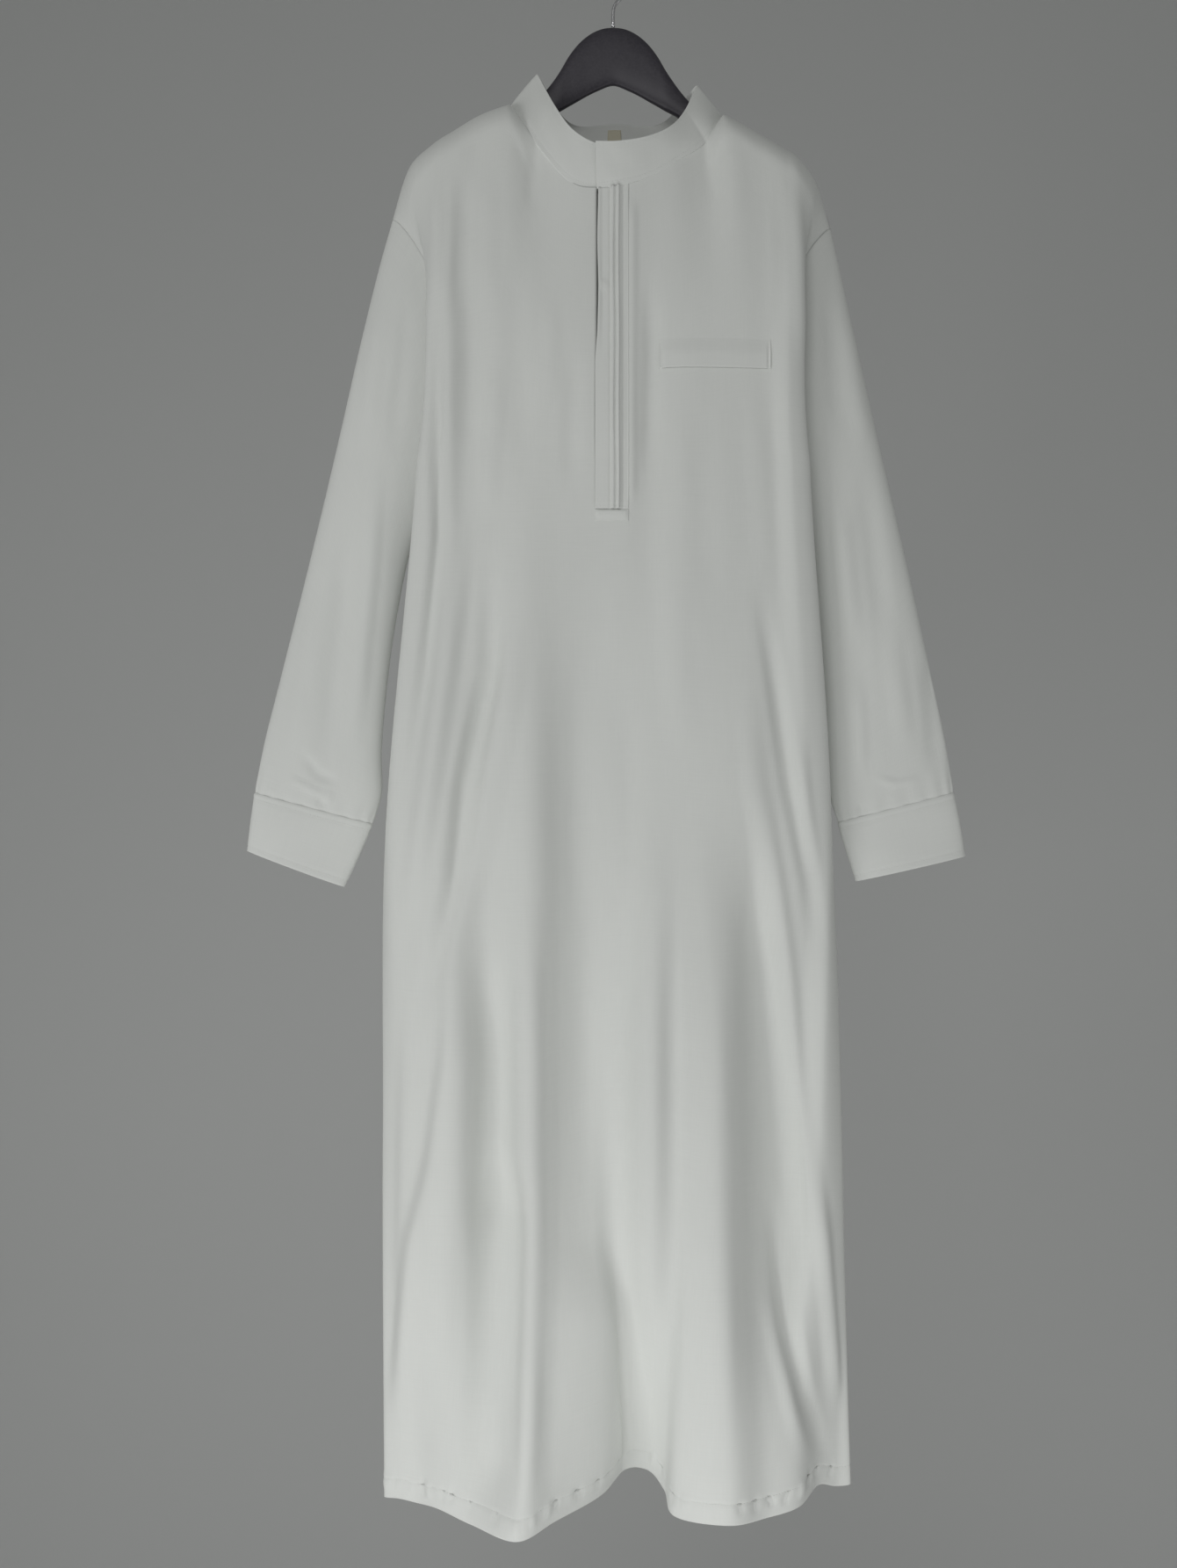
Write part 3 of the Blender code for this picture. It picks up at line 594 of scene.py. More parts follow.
    def locate(self, x: float, z: float, guess: Optional[Spot] = None) -> Spot:
        """The u and v whose point has this x and z.

        Args:
            x: place across the robe.
            z: height.
            guess: a u and v near the answer.

        Returns:
            u and v.
        """
        u, v = guess or (self.knots[-1] / 2, 0.6)
        for _ in range(7):
            here = self.point(u, v)
            du = (self.point(u + 0.5, v) - here) / 0.5
            dv = (self.point(u, v + 0.002) - here) / 0.002
            miss_x, miss_z = x - here.x, z - here.z
            det = du.x * dv.z - du.z * dv.x
            u += max(-60.0, min(60.0, (miss_x * dv.z - miss_z * dv.x) / det))
            v += max(-0.4, min(0.4, (du.x * miss_z - du.z * miss_x) / det))
            v = max(0.0, min(1.995, v))
            if abs(miss_x) + abs(miss_z) < 0.01:
                break
        return u, v


@dataclass(frozen=True)
class ClothFinish:
    """Plain-woven cloth, its threads following the piece's UV map in metres."""

    name: str
    light: Place3
    shade: Place3
    slot: str = "robe_cloth"  # in the record
    thread: float = 0.00055
    roughness: float = 0.82
    sheen: float = 0.16
    crumple: float = 0.00035
    thread_relief: float = 0.1  # depth of the weave, as a share of a thread
    slub: Place3 = (900.0, 30.0, 1.0)  # waves to a metre along each axis, here and below
    weft: Place3 = (26.0, 800.0, 1.0)
    blotch: Place3 = (7.0, 7.0, 3.0)
    crush: Place3 = (38.0, 38.0, 20.0)

    def material(self) -> bpy.types.Material:
        """The cloth's material, made once.

        Returns:
            The material.
        """
        if self.name in bpy.data.materials:
            return bpy.data.materials[self.name]
        sketch = Sketch(self.name)
        threads = sketch.add("ShaderNodeUVMap", uv_map="cloth").outputs["UV"]
        spot = sketch.add("ShaderNodeTexCoord").outputs["Object"]
        weave = self.weave(sketch, threads)
        blotch = sketch.noise(spot, self.blotch, 4.0)
        crush = sketch.noise(spot, self.crush, 5.0)
        fibres = (sketch.noise(threads, scale, 3.0) for scale in (self.slub, self.weft))
        streak = sketch.maths("ADD", *fibres)
        faint = sketch.maths("MULTIPLY", streak, 0.16)
        tone = sketch.maths("ADD", faint, sketch.maths("MULTIPLY", blotch, 0.5))
        fine = sketch.bump(sketch.maths("ADD", weave, streak), self.thread * self.thread_relief)
        sketch.shade({
            "Base Color": sketch.blend(tone, (0.32, self.shade), (0.78, self.light)),
            "Roughness": sketch.maths("MULTIPLY_ADD", streak, 0.06, self.roughness - 0.06),
            "Normal": sketch.bump(crush, self.crumple, fine),
            "Sheen Weight": self.sheen,
            "Sheen Roughness": 0.5,
            "Specular IOR Level": 0.28,
        })
        return sketch.material

    def weave(self, sketch: Sketch, threads: Socket) -> Socket:
        """Over and under of the threads, as the product of two waves."""
        waves = []
        for direction in ("X", "Y"):
            wave = sketch.add("ShaderNodeTexWave", bands_direction=direction)
            sketch.feed(wave, {
                "Vector": threads,
                "Scale": math.pi / (20 * self.thread),
                "Distortion": 0.6,
                "Detail Scale": 0.4,
            })
            waves.append(sketch.maths("SUBTRACT", wave.outputs["Fac"], 0.5))
        return sketch.maths("MULTIPLY", *waves)


@dataclass(frozen=True)
class HardFinish:
    """Moulded plastic or drawn wire, with a fine grain."""

    name: str
    colour: Place3
    worn: Place3
    slot: str
    roughness: float
    metallic: float
    grain: Place3
    relief: float

    def material(self) -> bpy.types.Material:
        """The material, made once.

        Returns:
            The material.
        """
        if self.name in bpy.data.materials:
            return bpy.data.materials[self.name]
        sketch = Sketch(self.name)
        grain = sketch.noise(sketch.add("ShaderNodeTexCoord").outputs["Object"], self.grain, 5.0)
        sketch.shade({
            "Base Color": sketch.blend(grain, (0.35, self.colour), (0.75, self.worn)),
            "Roughness": sketch.maths("MULTIPLY_ADD", grain, 0.18, self.roughness - 0.09),
            "Normal": sketch.bump(grain, self.relief),
            "Metallic": self.metallic,
        })
        return sketch.material


class Sketch:
    """A material whose nodes are laid out in the order they are added."""

    def __init__(self, name: str) -> None:
        """Start from a lone Principled shader."""
        self.material = bpy.data.materials.new(name)
        self.material.use_nodes = True
        self.tree = self.material.node_tree
        self.shader = self.tree.nodes["Principled BSDF"]
        self.count = 0

    def add(self, kind: str, **settings) -> bpy.types.Node:
        """Add a node and set its properties."""
        node = self.tree.nodes.new(kind)
        for key, value in settings.items():
            setattr(node, key, value)
        node.location = (-1500 + 190 * (self.count % 7), 500 - 240 * (self.count // 7))
        self.count += 1
        return node

    def feed(self, node: bpy.types.Node, values: dict) -> None:
        """Set a node's inputs.

        Args:
            node: the node.
            values: a socket to join or a plain value for each input, by its name or number.
        """
        for key, value in values.items():
            if isinstance(value, Socket):
                self.tree.links.new(value, node.inputs[key])
            else:
                node.inputs[key].default_value = value

    def shade(self, values: dict) -> None:
        """Set the shader's inputs, as feed does."""
        self.feed(self.shader, values)

    def noise(self, where: Socket, scale: Place3, detail: float) -> Socket:
        """Noise stretched by a scale along each axis."""
        stretch = self.add("ShaderNodeMapping")
        self.feed(stretch, {"Vector": where, "Scale": scale})
        noise = self.add("ShaderNodeTexNoise")
        self.feed(noise, {"Vector": stretch.outputs["Vector"], "Scale": 1.0, "Detail": detail})
        return noise.outputs["Fac"]

    def blend(self, amount: Socket, *stops: tuple[float, Place3]) -> Socket:
        """Run from one colour to another between two amounts."""
        ramp = self.add("ShaderNodeValToRGB")
        for element, (position, colour) in zip(ramp.color_ramp.elements, stops):
            element.position = position
            element.color = (*colour, 1)
        self.feed(ramp, {"Fac": amount})
        return ramp.outputs["Color"]

    def maths(self, operation: str, *values) -> Socket:
        """Add a Math node on sockets or numbers.

        Args:
            operation: the node's operation.
            values: its inputs in order.

        Returns:
            The result's socket.
        """
        node = self.add("ShaderNodeMath", operation=operation)
        self.feed(node, dict(enumerate(values)))
        return node.outputs["Value"]

    def bump(self, height: Socket, distance: float, before: Optional[Socket] = None) -> Socket:
        """Add a Bump node, over an earlier one if there is one."""
        node = self.add("ShaderNodeBump")
        self.feed(node, {"Height": height, "Distance": distance, **({"Normal": before} if before else {})})
        return node.outputs["Normal"]


ROBE_CLOTH = ClothFinish("robe_poplin", (0.80, 0.815, 0.785), (0.70, 0.715, 0.69))
BAND_CLOTH = ClothFinish("robe_poplin_fused", (0.80, 0.815, 0.785), (0.71, 0.725, 0.70), crumple=0.0001)
LABEL_CLOTH = ClothFinish(
    "label_tape", (0.70, 0.665, 0.52), (0.62, 0.585, 0.46), "label_cloth",
    thread=0.0004, roughness=0.6, sheen=0.1, crumple=0.0001,
)
THREAD = ClothFinish(
    "sewing_thread", (0.82, 0.83, 0.80), (0.70, 0.71, 0.69),
    thread=0.0002, roughness=0.55, sheen=0.1, crumple=0.00005,
)
PLASTIC = HardFinish(
    "hanger_matt_plastic", (0.030, 0.027, 0.036), (0.046, 0.042, 0.052), "hanger_plastic",
    roughness=0.46, metallic=0.0, grain=(420, 420, 420), relief=0.00006,
)
STEEL = HardFinish(
    "hook_polished_wire", (0.60, 0.60, 0.61), (0.72, 0.72, 0.73), "hook_steel",
    roughness=0.26, metallic=1.0, grain=(900, 900, 60), relief=0.00002,
)


def lattice(
    columns: Sequence[float],
    rows: Sequence[float],
    place: Callable[[float, float], Vector],
    drop: Optional[Callable[[int, int], bool]] = None,
) -> bmesh.types.BMesh:
    """A sheet whose corners are placed by column and row, with its threads in the UV map.

    Args:
        columns: positions across.
        rows: positions from the top down.
        place: gives the point, in millimetres, of a column and row.
        drop: says which cells are cut out.

    Returns:
        The sheet, in millimetres.
    """
    wide = len(columns)
    bm = bmesh.new()
    bmesh.ops.create_grid(bm, x_segments=wide - 1, y_segments=len(rows) - 1, size=1)
    for vert in bm.verts:
        i = round((vert.co.x + 1) / 2 * (wide - 1))
        j = round((1 - vert.co.y) / 2 * (len(rows) - 1))
        vert.index = j * wide + i
    spots = {v.index: place(columns[v.index % wide], rows[v.index // wide]) for v in bm.verts}
    middle_row, middle = len(rows) // 2 * wide, wide // 2
    across, down = [0.0], [0.0]
    for i in range(1, wide):
        across.append(across[-1] + (spots[middle_row + i] - spots[middle_row + i - 1]).length * MM)
    for j in range(1, len(rows)):
        down.append(down[-1] + (spots[j * wide + middle] - spots[(j - 1) * wide + middle]).length * MM)
    threads = bm.loops.layers.uv.new("cloth")
    cut = []
    for face in bm.faces:
        for loop in face.loops:
            loop[threads].uv = (across[loop.vert.index % wide], -down[loop.vert.index // wide])
        i = min(v.index % wide for v in face.verts)
        j = min(v.index // wide for v in face.verts)
        if drop and drop(i, j):
            cut.append(face)
    for vert in bm.verts:
        vert.co = spots[vert.index]
    if cut:
        bmesh.ops.delete(bm, geom=cut, context="FACES")
    return bm


def rolled(rows: Sequence[float], around: int, place: Callable[[float, float], Vector]) -> bmesh.types.BMesh:
    """A tube: a sheet rolled round and welded along its length.

    Args:
        rows: positions along it.
        around: corners round it.
        place: gives the point of an angle and a row.

    Returns:
        The tube, in millimetres.
    """
    angles = evenly(0, 2 * math.pi, around)
    bm = lattice(angles, rows, lambda angle, row: place(angle % (2 * math.pi), row))
    bmesh.ops.remove_doubles(bm, verts=bm.verts, dist=0.01)
    return bm


def cap_ends(bm: bmesh.types.BMesh) -> None:
    """Close a tube's two ends."""
    bmesh.ops.holes_fill(bm, edges=[e for e in bm.edges if e.is_boundary], sides=80)


def placed(name: str, data: bpy.types.ID) -> bpy.types.Object:
    """Put a mesh, light or camera into the scene."""
    piece = bpy.data.objects.new(name, data)
    bpy.context.scene.collection.objects.link(piece)
    return piece


def smoothed(name: str, bm: bmesh.types.BMesh, material: bpy.types.Material) -> bpy.types.Object:
    """Put a bmesh into the scene as a smooth object, and free it."""
    for polygon in bm.faces:
        polygon.smooth = True
    mesh = bpy.data.meshes.new(name)
    bm.to_mesh(mesh)
    bm.free()
    mesh.materials.append(material)
    return placed(name, mesh)


def finished(
    name: str,
    bm: bmesh.types.BMesh,
    finish: ClothFinish | HardFinish,
    wall: float = 0.0,
    replaces: Sequence[str] = (),
) -> bpy.types.Object:
    """Make a smooth piece of a bmesh, ride it on the robe's body and give it its finish.

    Args:
        name: the piece's name.
        bm: its shape in millimetres.
        finish: its finish.
        wall: thickness of a sheet, or 0 for a shape that is already closed.
        replaces: frame nodes that it stands for.

    Returns:
        The object.
    """
    bmesh.ops.recalc_face_normals(bm, faces=bm.faces)
    bm.transform(Matrix.Scale(MM, 4))
    piece = smoothed(name, bm, finish.material())
    if wall:
        solid = piece.modifiers.new("wall", "SOLIDIFY")
        solid.thickness = wall * MM
        solid.offset = 0.0
    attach(piece, BODY)
    if replaces:
        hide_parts(*replaces)
    LOG.info("%s: %d faces", name, len(piece.data.polygons))
    return piece


def roll_edges(piece: bpy.types.Object) -> None:
    """Round a double layer's edges, as where its cloth is turned in."""
    soft = piece.modifiers.new("rolled_edges", "BEVEL")
    soft.width = 0.5 * MM
    soft.segments = 2
    soft.limit_method = "ANGLE"


@dataclass
class Seam:
    """A run of lockstitch, its stitches lying in the cloth along a line."""

    name: str
    pitch: float = 2.6
    length: float = 2.1
    width: float = 0.42
    height: float = 0.3
    runs: list[list[tuple[Vector, Vector]]] = field(default_factory=list)

    def run(self, spot: Callable[[float], tuple[Vector, Vector]], stations: Iterable[float]) -> None:
        """Add one line of stitching.

        Args:
            spot: gives the point of a station and the direction out of the cloth there.
            stations: positions along the line.
        """
        self.runs.append([spot(station) for station in stations])

    def make(self) -> None:
        """Lay a stitch at every pitch of each run."""
        bm = bmesh.new()
        for spots in self.runs:
            travel, due = 0.0, self.pitch / 2
            for (a, up_a), (b, up_b) in zip(spots, spots[1:]):
                step = (b - a).length
                while step and due <= travel + step:
                    t = (due - travel) / step
                    self.stitch(bm, a.lerp(b, t), (b - a).normalized(), up_a.lerp(up_b, t).normalized())
                    due += self.pitch
                travel += step
        finished(self.name, bm, THREAD)

    def stitch(self, bm: bmesh.types.BMesh, centre: Vector, along: Vector, up: Vector) -> None:
        """Add one stitch as a slim bead.

        Args:
            bm: the stitching so far.
            centre: its middle, on the cloth.
            along: the way the seam runs.
            up: out of the cloth.
        """
        side = up.cross(along).normalized()
        turn = Matrix((along, side, up)).transposed().to_4x4()
        size = Matrix.Diagonal((self.length / 2, self.width / 2, self.height / 2, 1))
        place = Matrix.Translation(centre) @ turn @ size
        bmesh.ops.create_icosphere(bm, subdivisions=1, radius=1.0, matrix=place)


class Robe:
    """The robe's form, shared by the pieces that are cut from it or lie on it."""

    def __init__(self) -> None:
        """Draw both body panels."""
        self.front = Panel(FRONT, Face.FRONT, FRONT_CREASES)
        self.back = Panel(BACK, Face.BACK, BACK_CREASES)
        self.front.other, self.back.other = self.back, self.front

    def panel(self, face: Face) -> Panel:
        """The front or back panel."""
        return self.front if face is Face.FRONT else self.back


@dataclass
class Body:
    """The front and back panels with their turned-up hems."""

    robe: Robe
    front_area: float = 0.73  # of the cloth it is cut from, in square metres
    back_area: float = 0.72
    pace: float = 2.9
    upper_rows: int = 52
    lower_rows: int = 150
    hem_rows: tuple[float, ...] = (34, 29, 25, 22.5, 21, 20, 19, 17.5, 15, 12, 9, 6, 3.5, 1.5, 0)
    turn_rows: tuple[float, ...] = (20.5, 17, 12, 7, 3, 1)
    groove: Spot = (0.45, 1.3)  # depth and width of the hem's stitched groove
    seam_gap: float = 0.2  # how far each panel stops short of the side seam
    pucker_seed: int = 11
    pucker_foot: Spot = (4, 9)  # least and most height above the hem, here and at its top
    pucker_top: Spot = (22, 31)
    pucker_rise: Spot = (0.9, 2.1)
    pucker_reach: Spot = (2.6, 4.6)
    pucker_gap: Spot = (7, 24)
    gathered: float = 138.0  # beyond this x the hem is pulled up harder
    gather_pull: float = 1.7

    def hem_v(self, panel: Panel, above: float) -> float:
        """The v a given height above the hem."""
        return 2 - above / (CHEST_Z - panel.folds[0].hem[2])

    def puckers(self, panel: Panel) -> list[Crease]:
        """Small drags where the hem is stitched, uneven in size and spacing.

        Args:
            panel: the panel whose hem they are on.

        Returns:
            The creases.
        """
        draw = random.Random(self.pucker_seed + panel.face.value)
        drags, u = [], 14.0
        while u < panel.knots[-1] - 14:
            heights = draw.uniform(*self.pucker_foot), draw.uniform(*self.pucker_top)
            low, high = (panel.point(u, self.hem_v(panel, h)) for h in heights)
            lean = draw.uniform(-5, 5)
            strength = draw.uniform(*self.pucker_rise) * draw.choice((1, -1, -1))
            if low.x > self.gathered:
                strength *= self.gather_pull
            reach = draw.uniform(*self.pucker_reach)
            path = ((high.x + lean, high.z), (low.x, low.z))
            drags.append(Crease(path, strength, reach, reach, face=panel.face))
            u += draw.uniform(*self.pucker_gap)
        return drags

    def rows(self, panel: Panel) -> list[float]:
        """Rows of the panel, close together over the shoulder and at the hem."""
        upper = [(i / self.upper_rows) ** 1.35 for i in range(self.upper_rows)]
        hem = [self.hem_v(panel, h) for h in self.hem_rows]
        return upper + evenly(1.0, self.hem_v(panel, 40), self.lower_rows) + hem

    def cloth(self, face: Face) -> None:
        """Make one panel.

        Args:
            face: front or back.
        """
        panel = self.robe.panel(face)
        puckers = self.puckers(panel)
        columns = spread(panel.knots, self.pace)
        end_u = columns[-1]
        hem_top = self.hem_v(panel, 45)

        def place(u: float, v: float) -> Vector:
            """Point of the cloth, half a seam's gap short of each side seam."""
            if u in (0.0, end_u):
                step = 0.5 if u == 0.0 else -0.5
                pace = (panel.point(u + step, v) - panel.point(u, v)).length
                u += step * min(self.seam_gap / pace, 3)
            spot = panel.surface(u, v)
            if v > hem_top:
                above = (2 - v) * (CHEST_Z - panel.folds[0].hem[2])
                groove = -self.groove[0] * math.exp(-((above - HEM_DEPTH) / self.groove[1]) ** 2)
                edge = smooth(min(u, end_u - u) / 12)
                drag = sum(p.lift(spot.x, spot.z) for p in puckers) * edge
                spot += panel.normal(u, v) * (groove + drag)
            return spot

        rows = self.rows(panel)
        drop = None
        if face is Face.FRONT:
            a, b = panel.u_of("opening right"), panel.u_of("opening left")
            foot = panel.locate(*OPENING_FOOT)[1]

            def drop(i: int, j: int) -> bool:
                """Whether a cell lies in the front opening."""
                return a - 0.1 < columns[i] < b - 0.1 and rows[j + 1] < foot

        word = face.name.lower()
        bm = lattice(columns, rows, place, drop)
        piece = finished(f"{word}_cloth", bm, ROBE_CLOTH, WALL, (f"{word}_panel",))

    def hem_turn(self, face: Face) -> None:
        """Make the strip that is turned up inside the hem.

        Args:
            face: front or back.
        """
        panel = self.robe.panel(face)
        word = face.name.lower()

        def place(u: float, above: float) -> Vector:
            """Point of the strip, inside the panel."""
            return panel.surface(u, self.hem_v(panel, above), -WALL - 0.15)

        bm = lattice(evenly(4, panel.knots[-1] - 4, 150), self.turn_rows, place)
        piece = finished(f"hem_turn_{word}", bm, ROBE_CLOTH, 0.5)

    def stitches(self) -> None:
        """Make the hem's stitching."""
        seam = Seam("hem_stitches", pitch=3.0, length=2.4)
        for panel in (self.robe.front, self.robe.back):
            v = self.hem_v(panel, HEM_DEPTH)
            us = evenly(3, panel.knots[-1] - 3, 200)
            seam.run(lambda u: (panel.surface(u, v, WALL / 2 - 0.4), panel.normal(u, v)), us)
        seam.make()

    def make(self) -> None:
        """Make both panels and their hems."""
        for face in Face:
            self.cloth(face)
            self.hem_turn(face)
        self.stitches()


@dataclass
class Placket:
    """The tucked band over the front opening and the underlap behind it."""

    robe: Robe
    tuck_rise: float = 2.5
    tuck_half: float = 2.0
    tuck_back: float = 0.6  # width of a tuck's steep side, as a share of the other
    tuck_wander: float = 0.25
    gape: float = 1.5  # how far the free edge stands off near the top
    gape_foot: float = -440.0
    gape_top: float = -262.0  # where the collar holds the free edge down
    flush: float = 1.15  # how far the sewn edge sinks to the front
    curl: float = 4.6  # how far the corner under the collar curls back
    curl_z: float = -244.0
    slit: float = 3.2  # how far the free edge draws back below it
    slit_foot: float = -432.0
    button: Spot = (-11.0, -352.0)
    button_rise: float = 0.8
    button_reach: float = 5.5
    long_seam: float = TUCKS[0] - 3.2  # x of the row of stitches down the band
    foot_seam: float = BAND_FOOT + 2.2  # height of the row across its foot
    box_depth: float = 11.5
    underlap_drop: float = 5.5  # how far the underlap falls back in the slit

    def neck_z(self, x: float) -> float:
        """Height just under the neckline at x."""
        panel = self.robe.front
        low, high = panel.u_of("right slope"), panel.u_of("left wall")
        for _ in range(30):
            u = (low + high) / 2
            if panel.point(u, 0).x < x:
                low = u
            else:
                high = u
        return panel.point(u, 0).z - 1.0

    def height(self, x: float, foot: float, s: float) -> float:
        """Height a share s of the way down at x, from the neckline to a foot."""
        top = self.neck_z(x)
        return top + (foot - top) * s

    def locate(self, x: float, z: float, v: float = 0.5) -> Spot:
        """The front's u and v behind a place on the band, looked for from v."""
        panel = self.robe.front
        return panel.locate(x, z, (panel.u_of("opening right") + x - OPENING_X, v))

    def relief(self, x: float, z: float) -> float:
        """How far the band's face stands out at one place.

        Args:
            x: place across the robe.
            z: height.

        Returns:
            The distance beyond the plain band.
        """
        out, half = 0.0, self.tuck_half
        for tuck in TUCKS:
            s = x - tuck - self.tuck_wander * math.sin(z / 23)
            if -half < s < 0:
                out += self.tuck_rise * smooth((s + half) / half)
            elif 0 <= s < half * self.tuck_back:
                out += self.tuck_rise * (1 - smooth(s / half / self.tuck_back))
        edge = smooth(1 - (x - BAND_X[0]) / 8)
        held = 1 - 0.6 * smooth((z - self.gape_top) / 14)
        out += edge * self.gape * smooth((z - self.gape_foot) / 60) * held
        away = math.dist((x, z), self.button)
        out += self.button_rise * smooth(1.4 - away / self.button_reach)
        for groove, deep, wide in ((self.long_seam, 1.0, 0.9), (TUCKS[1] + 4.4, 1.2, 1.8)):
            out -= deep * math.exp(-((x - groove) / wide) ** 2)
        out -= self.flush * smooth((x - BAND_X[1] + 7) / 5)
        return out - 0.4 * math.exp(-((z - self.foot_seam) ** 2))

    def notch(self, x: float, z: float) -> float:
        """How far the free edge curls back under the collar, fading across the plain strip."""
        near = math.exp(-((z - self.curl_z) / 7) ** 2)
        uneven = 0.85 + 0.15 * math.sin(z / 15)
        back = self.slit * smooth((z - self.slit_foot) / 40) * (1 - near) * uneven
        return (self.curl * near + back) * smooth(1 - (x - BAND_X[0]) / 9)

    def band(self) -> None:
        """Make the band."""
        first, second = (tuck + 1.4 for tuck in TUCKS)  # just past each tuck
        xs = spread((BAND_X[0], TUCKS[0] - self.tuck_half, first), 0.9)[:-1]
        xs += spread((first, TUCKS[1] - self.tuck_half, second), 0.55)[:-1]
        xs += spread((second, BAND_X[1]), 0.8)

        def place(x: float, s: float) -> Vector:
            """Point of the band, out from the front panel."""
            z = self.height(x, BAND_FOOT, s)
            face = self.robe.front.surface(*self.locate(x, z), LIFT + self.relief(x, z))
            return face + Vector((self.notch(x, z), 0, 0))

        bm = lattice(xs, evenly(0, 1, 150), place)
        piece = finished("placket_cloth", bm, BAND_CLOTH, 0.9, ("placket_band",))

    def underlap(self) -> None:
        """Make the underlap."""

        def place(x: float, s: float) -> Vector:
            """Point of the underlap, behind the front panel."""
            z = self.height(x, UNDERLAP_FOOT, s)
            drop = self.underlap_drop * smooth((z - self.gape_foot) / 60)
            return self.robe.front.surface(*self.locate(x, z), -LIFT - drop)

        bm = lattice(evenly(*UNDERLAP_X, 14), evenly(0, 1, 80), place)
        piece = finished("underlap_cloth", bm, BAND_CLOTH, WALL, ("placket_underlap",))

    def box(self) -> None:
        """Make the small raised box under the band's foot, where the layers end inside."""

        def place(x: float, s: float) -> Vector:
            """Point of the box, domed over the ends of the layers."""
            z = BAND_FOOT - 0.6 - self.box_depth * s
            sides = min(x - BAND_X[0], BAND_X[1] - x) / 4
            dome = smooth(sides) * smooth(s * 5) * smooth((1 - s) * 1.6)
            return self.robe.front.surface(*self.locate(x, z, 1.05), 0.55 + 0.9 * dome)

        bm = lattice(evenly(*BAND_X, 40), evenly(0, 1, 16), place)
        finished("placket_foot", bm, BAND_CLOTH, 0.3)

    def stitches(self) -> None:
        """Make the rows of stitching on the band."""
        panel = self.robe.front
        seam = Seam("placket_stitches")

        def spot(x: float, z: float) -> tuple[Vector, Vector]:
            """A place on the band's face and the direction out of it."""
            place = self.locate(x, z)
            out = LIFT + self.relief(x, z) + ON_DOUBLE
            return panel.surface(*place, out), panel.normal(*place)

        start = BAND_X[0] + 0.8
        seam.run(lambda z: spot(self.long_seam, z), evenly(self.gape_top, self.foot_seam, 110))
        seam.run(lambda x: spot(x, self.foot_seam), evenly(start, BAND_X[1] - 1.6, 14))
        seam.run(lambda x: spot(x, BAND_FOOT + 9.5), evenly(start, start + 7.2, 5))
        seam.make()

    def make(self) -> None:
        """Make the band, the underlap, the foot box and their stitching."""
        self.band()
        self.underlap()
        self.box()
        self.stitches()


@dataclass
class Pocket:
    """The chest pocket's welt."""

    robe: Robe
    inset: float = 2.3  # of the stitches from each end
    rise: float = 1.9
    sink: float = 0.3  # how far the upper edge lies in the front
    slope: float = 22.0  # how far below the upper edge the welt stands out in full
    pull: float = 0.85  # share of it that the stitches draw in

    def out(self, x: float, z: float) -> float:
        """How far the welt's face stands out: full along its lower edge, drawn in at its ends."""
        full = self.rise * smooth((POCKET_Z[1] - z) / self.slope) - self.sink
        ends = min(x - POCKET_X[0], POCKET_X[1] - x)
        pull = self.pull * math.exp(-((ends - self.inset) / 1.4) ** 2)
        return full - pull * max(full, 0.0)

    def make(self) -> None:
        """Make the welt and its stitching."""
        panel = self.robe.front
        middle = panel.locate(sum(POCKET_X) / 2, POCKET_Z[0])

        def place(x: float, z: float) -> Vector:
            """Point of the welt, out from the front panel."""
            u, v = panel.locate(x, z, middle)
            return panel.surface(u, v, self.out(x, z))

        ends = (POCKET_X[0], POCKET_X[0] + 4, POCKET_X[1] - 4, POCKET_X[1])
        bm = lattice(spread(ends, 0.8), evenly(POCKET_Z[1], POCKET_Z[0], 26), place)
        piece = finished("pocket_welt_cloth", bm, BAND_CLOTH, 0.9, ("chest_pocket_welt",))

        def spot(x: float, z: float) -> tuple[Vector, Vector]:
            """A place on the welt's face and the direction out of it."""
            u, v = panel.locate(x, z, middle)
            return panel.surface(u, v, self.out(x, z) + ON_DOUBLE), panel.normal(u, v)

        seam = Seam("pocket_stitches", pitch=2.3, length=1.8)
        for x in (POCKET_X[0] + self.inset, POCKET_X[1] - self.inset):
            seam.run(lambda z: spot(x, z), evenly(POCKET_Z[0] + 0.8, POCKET_Z[1] - 0.8, 14))
        seam.make()


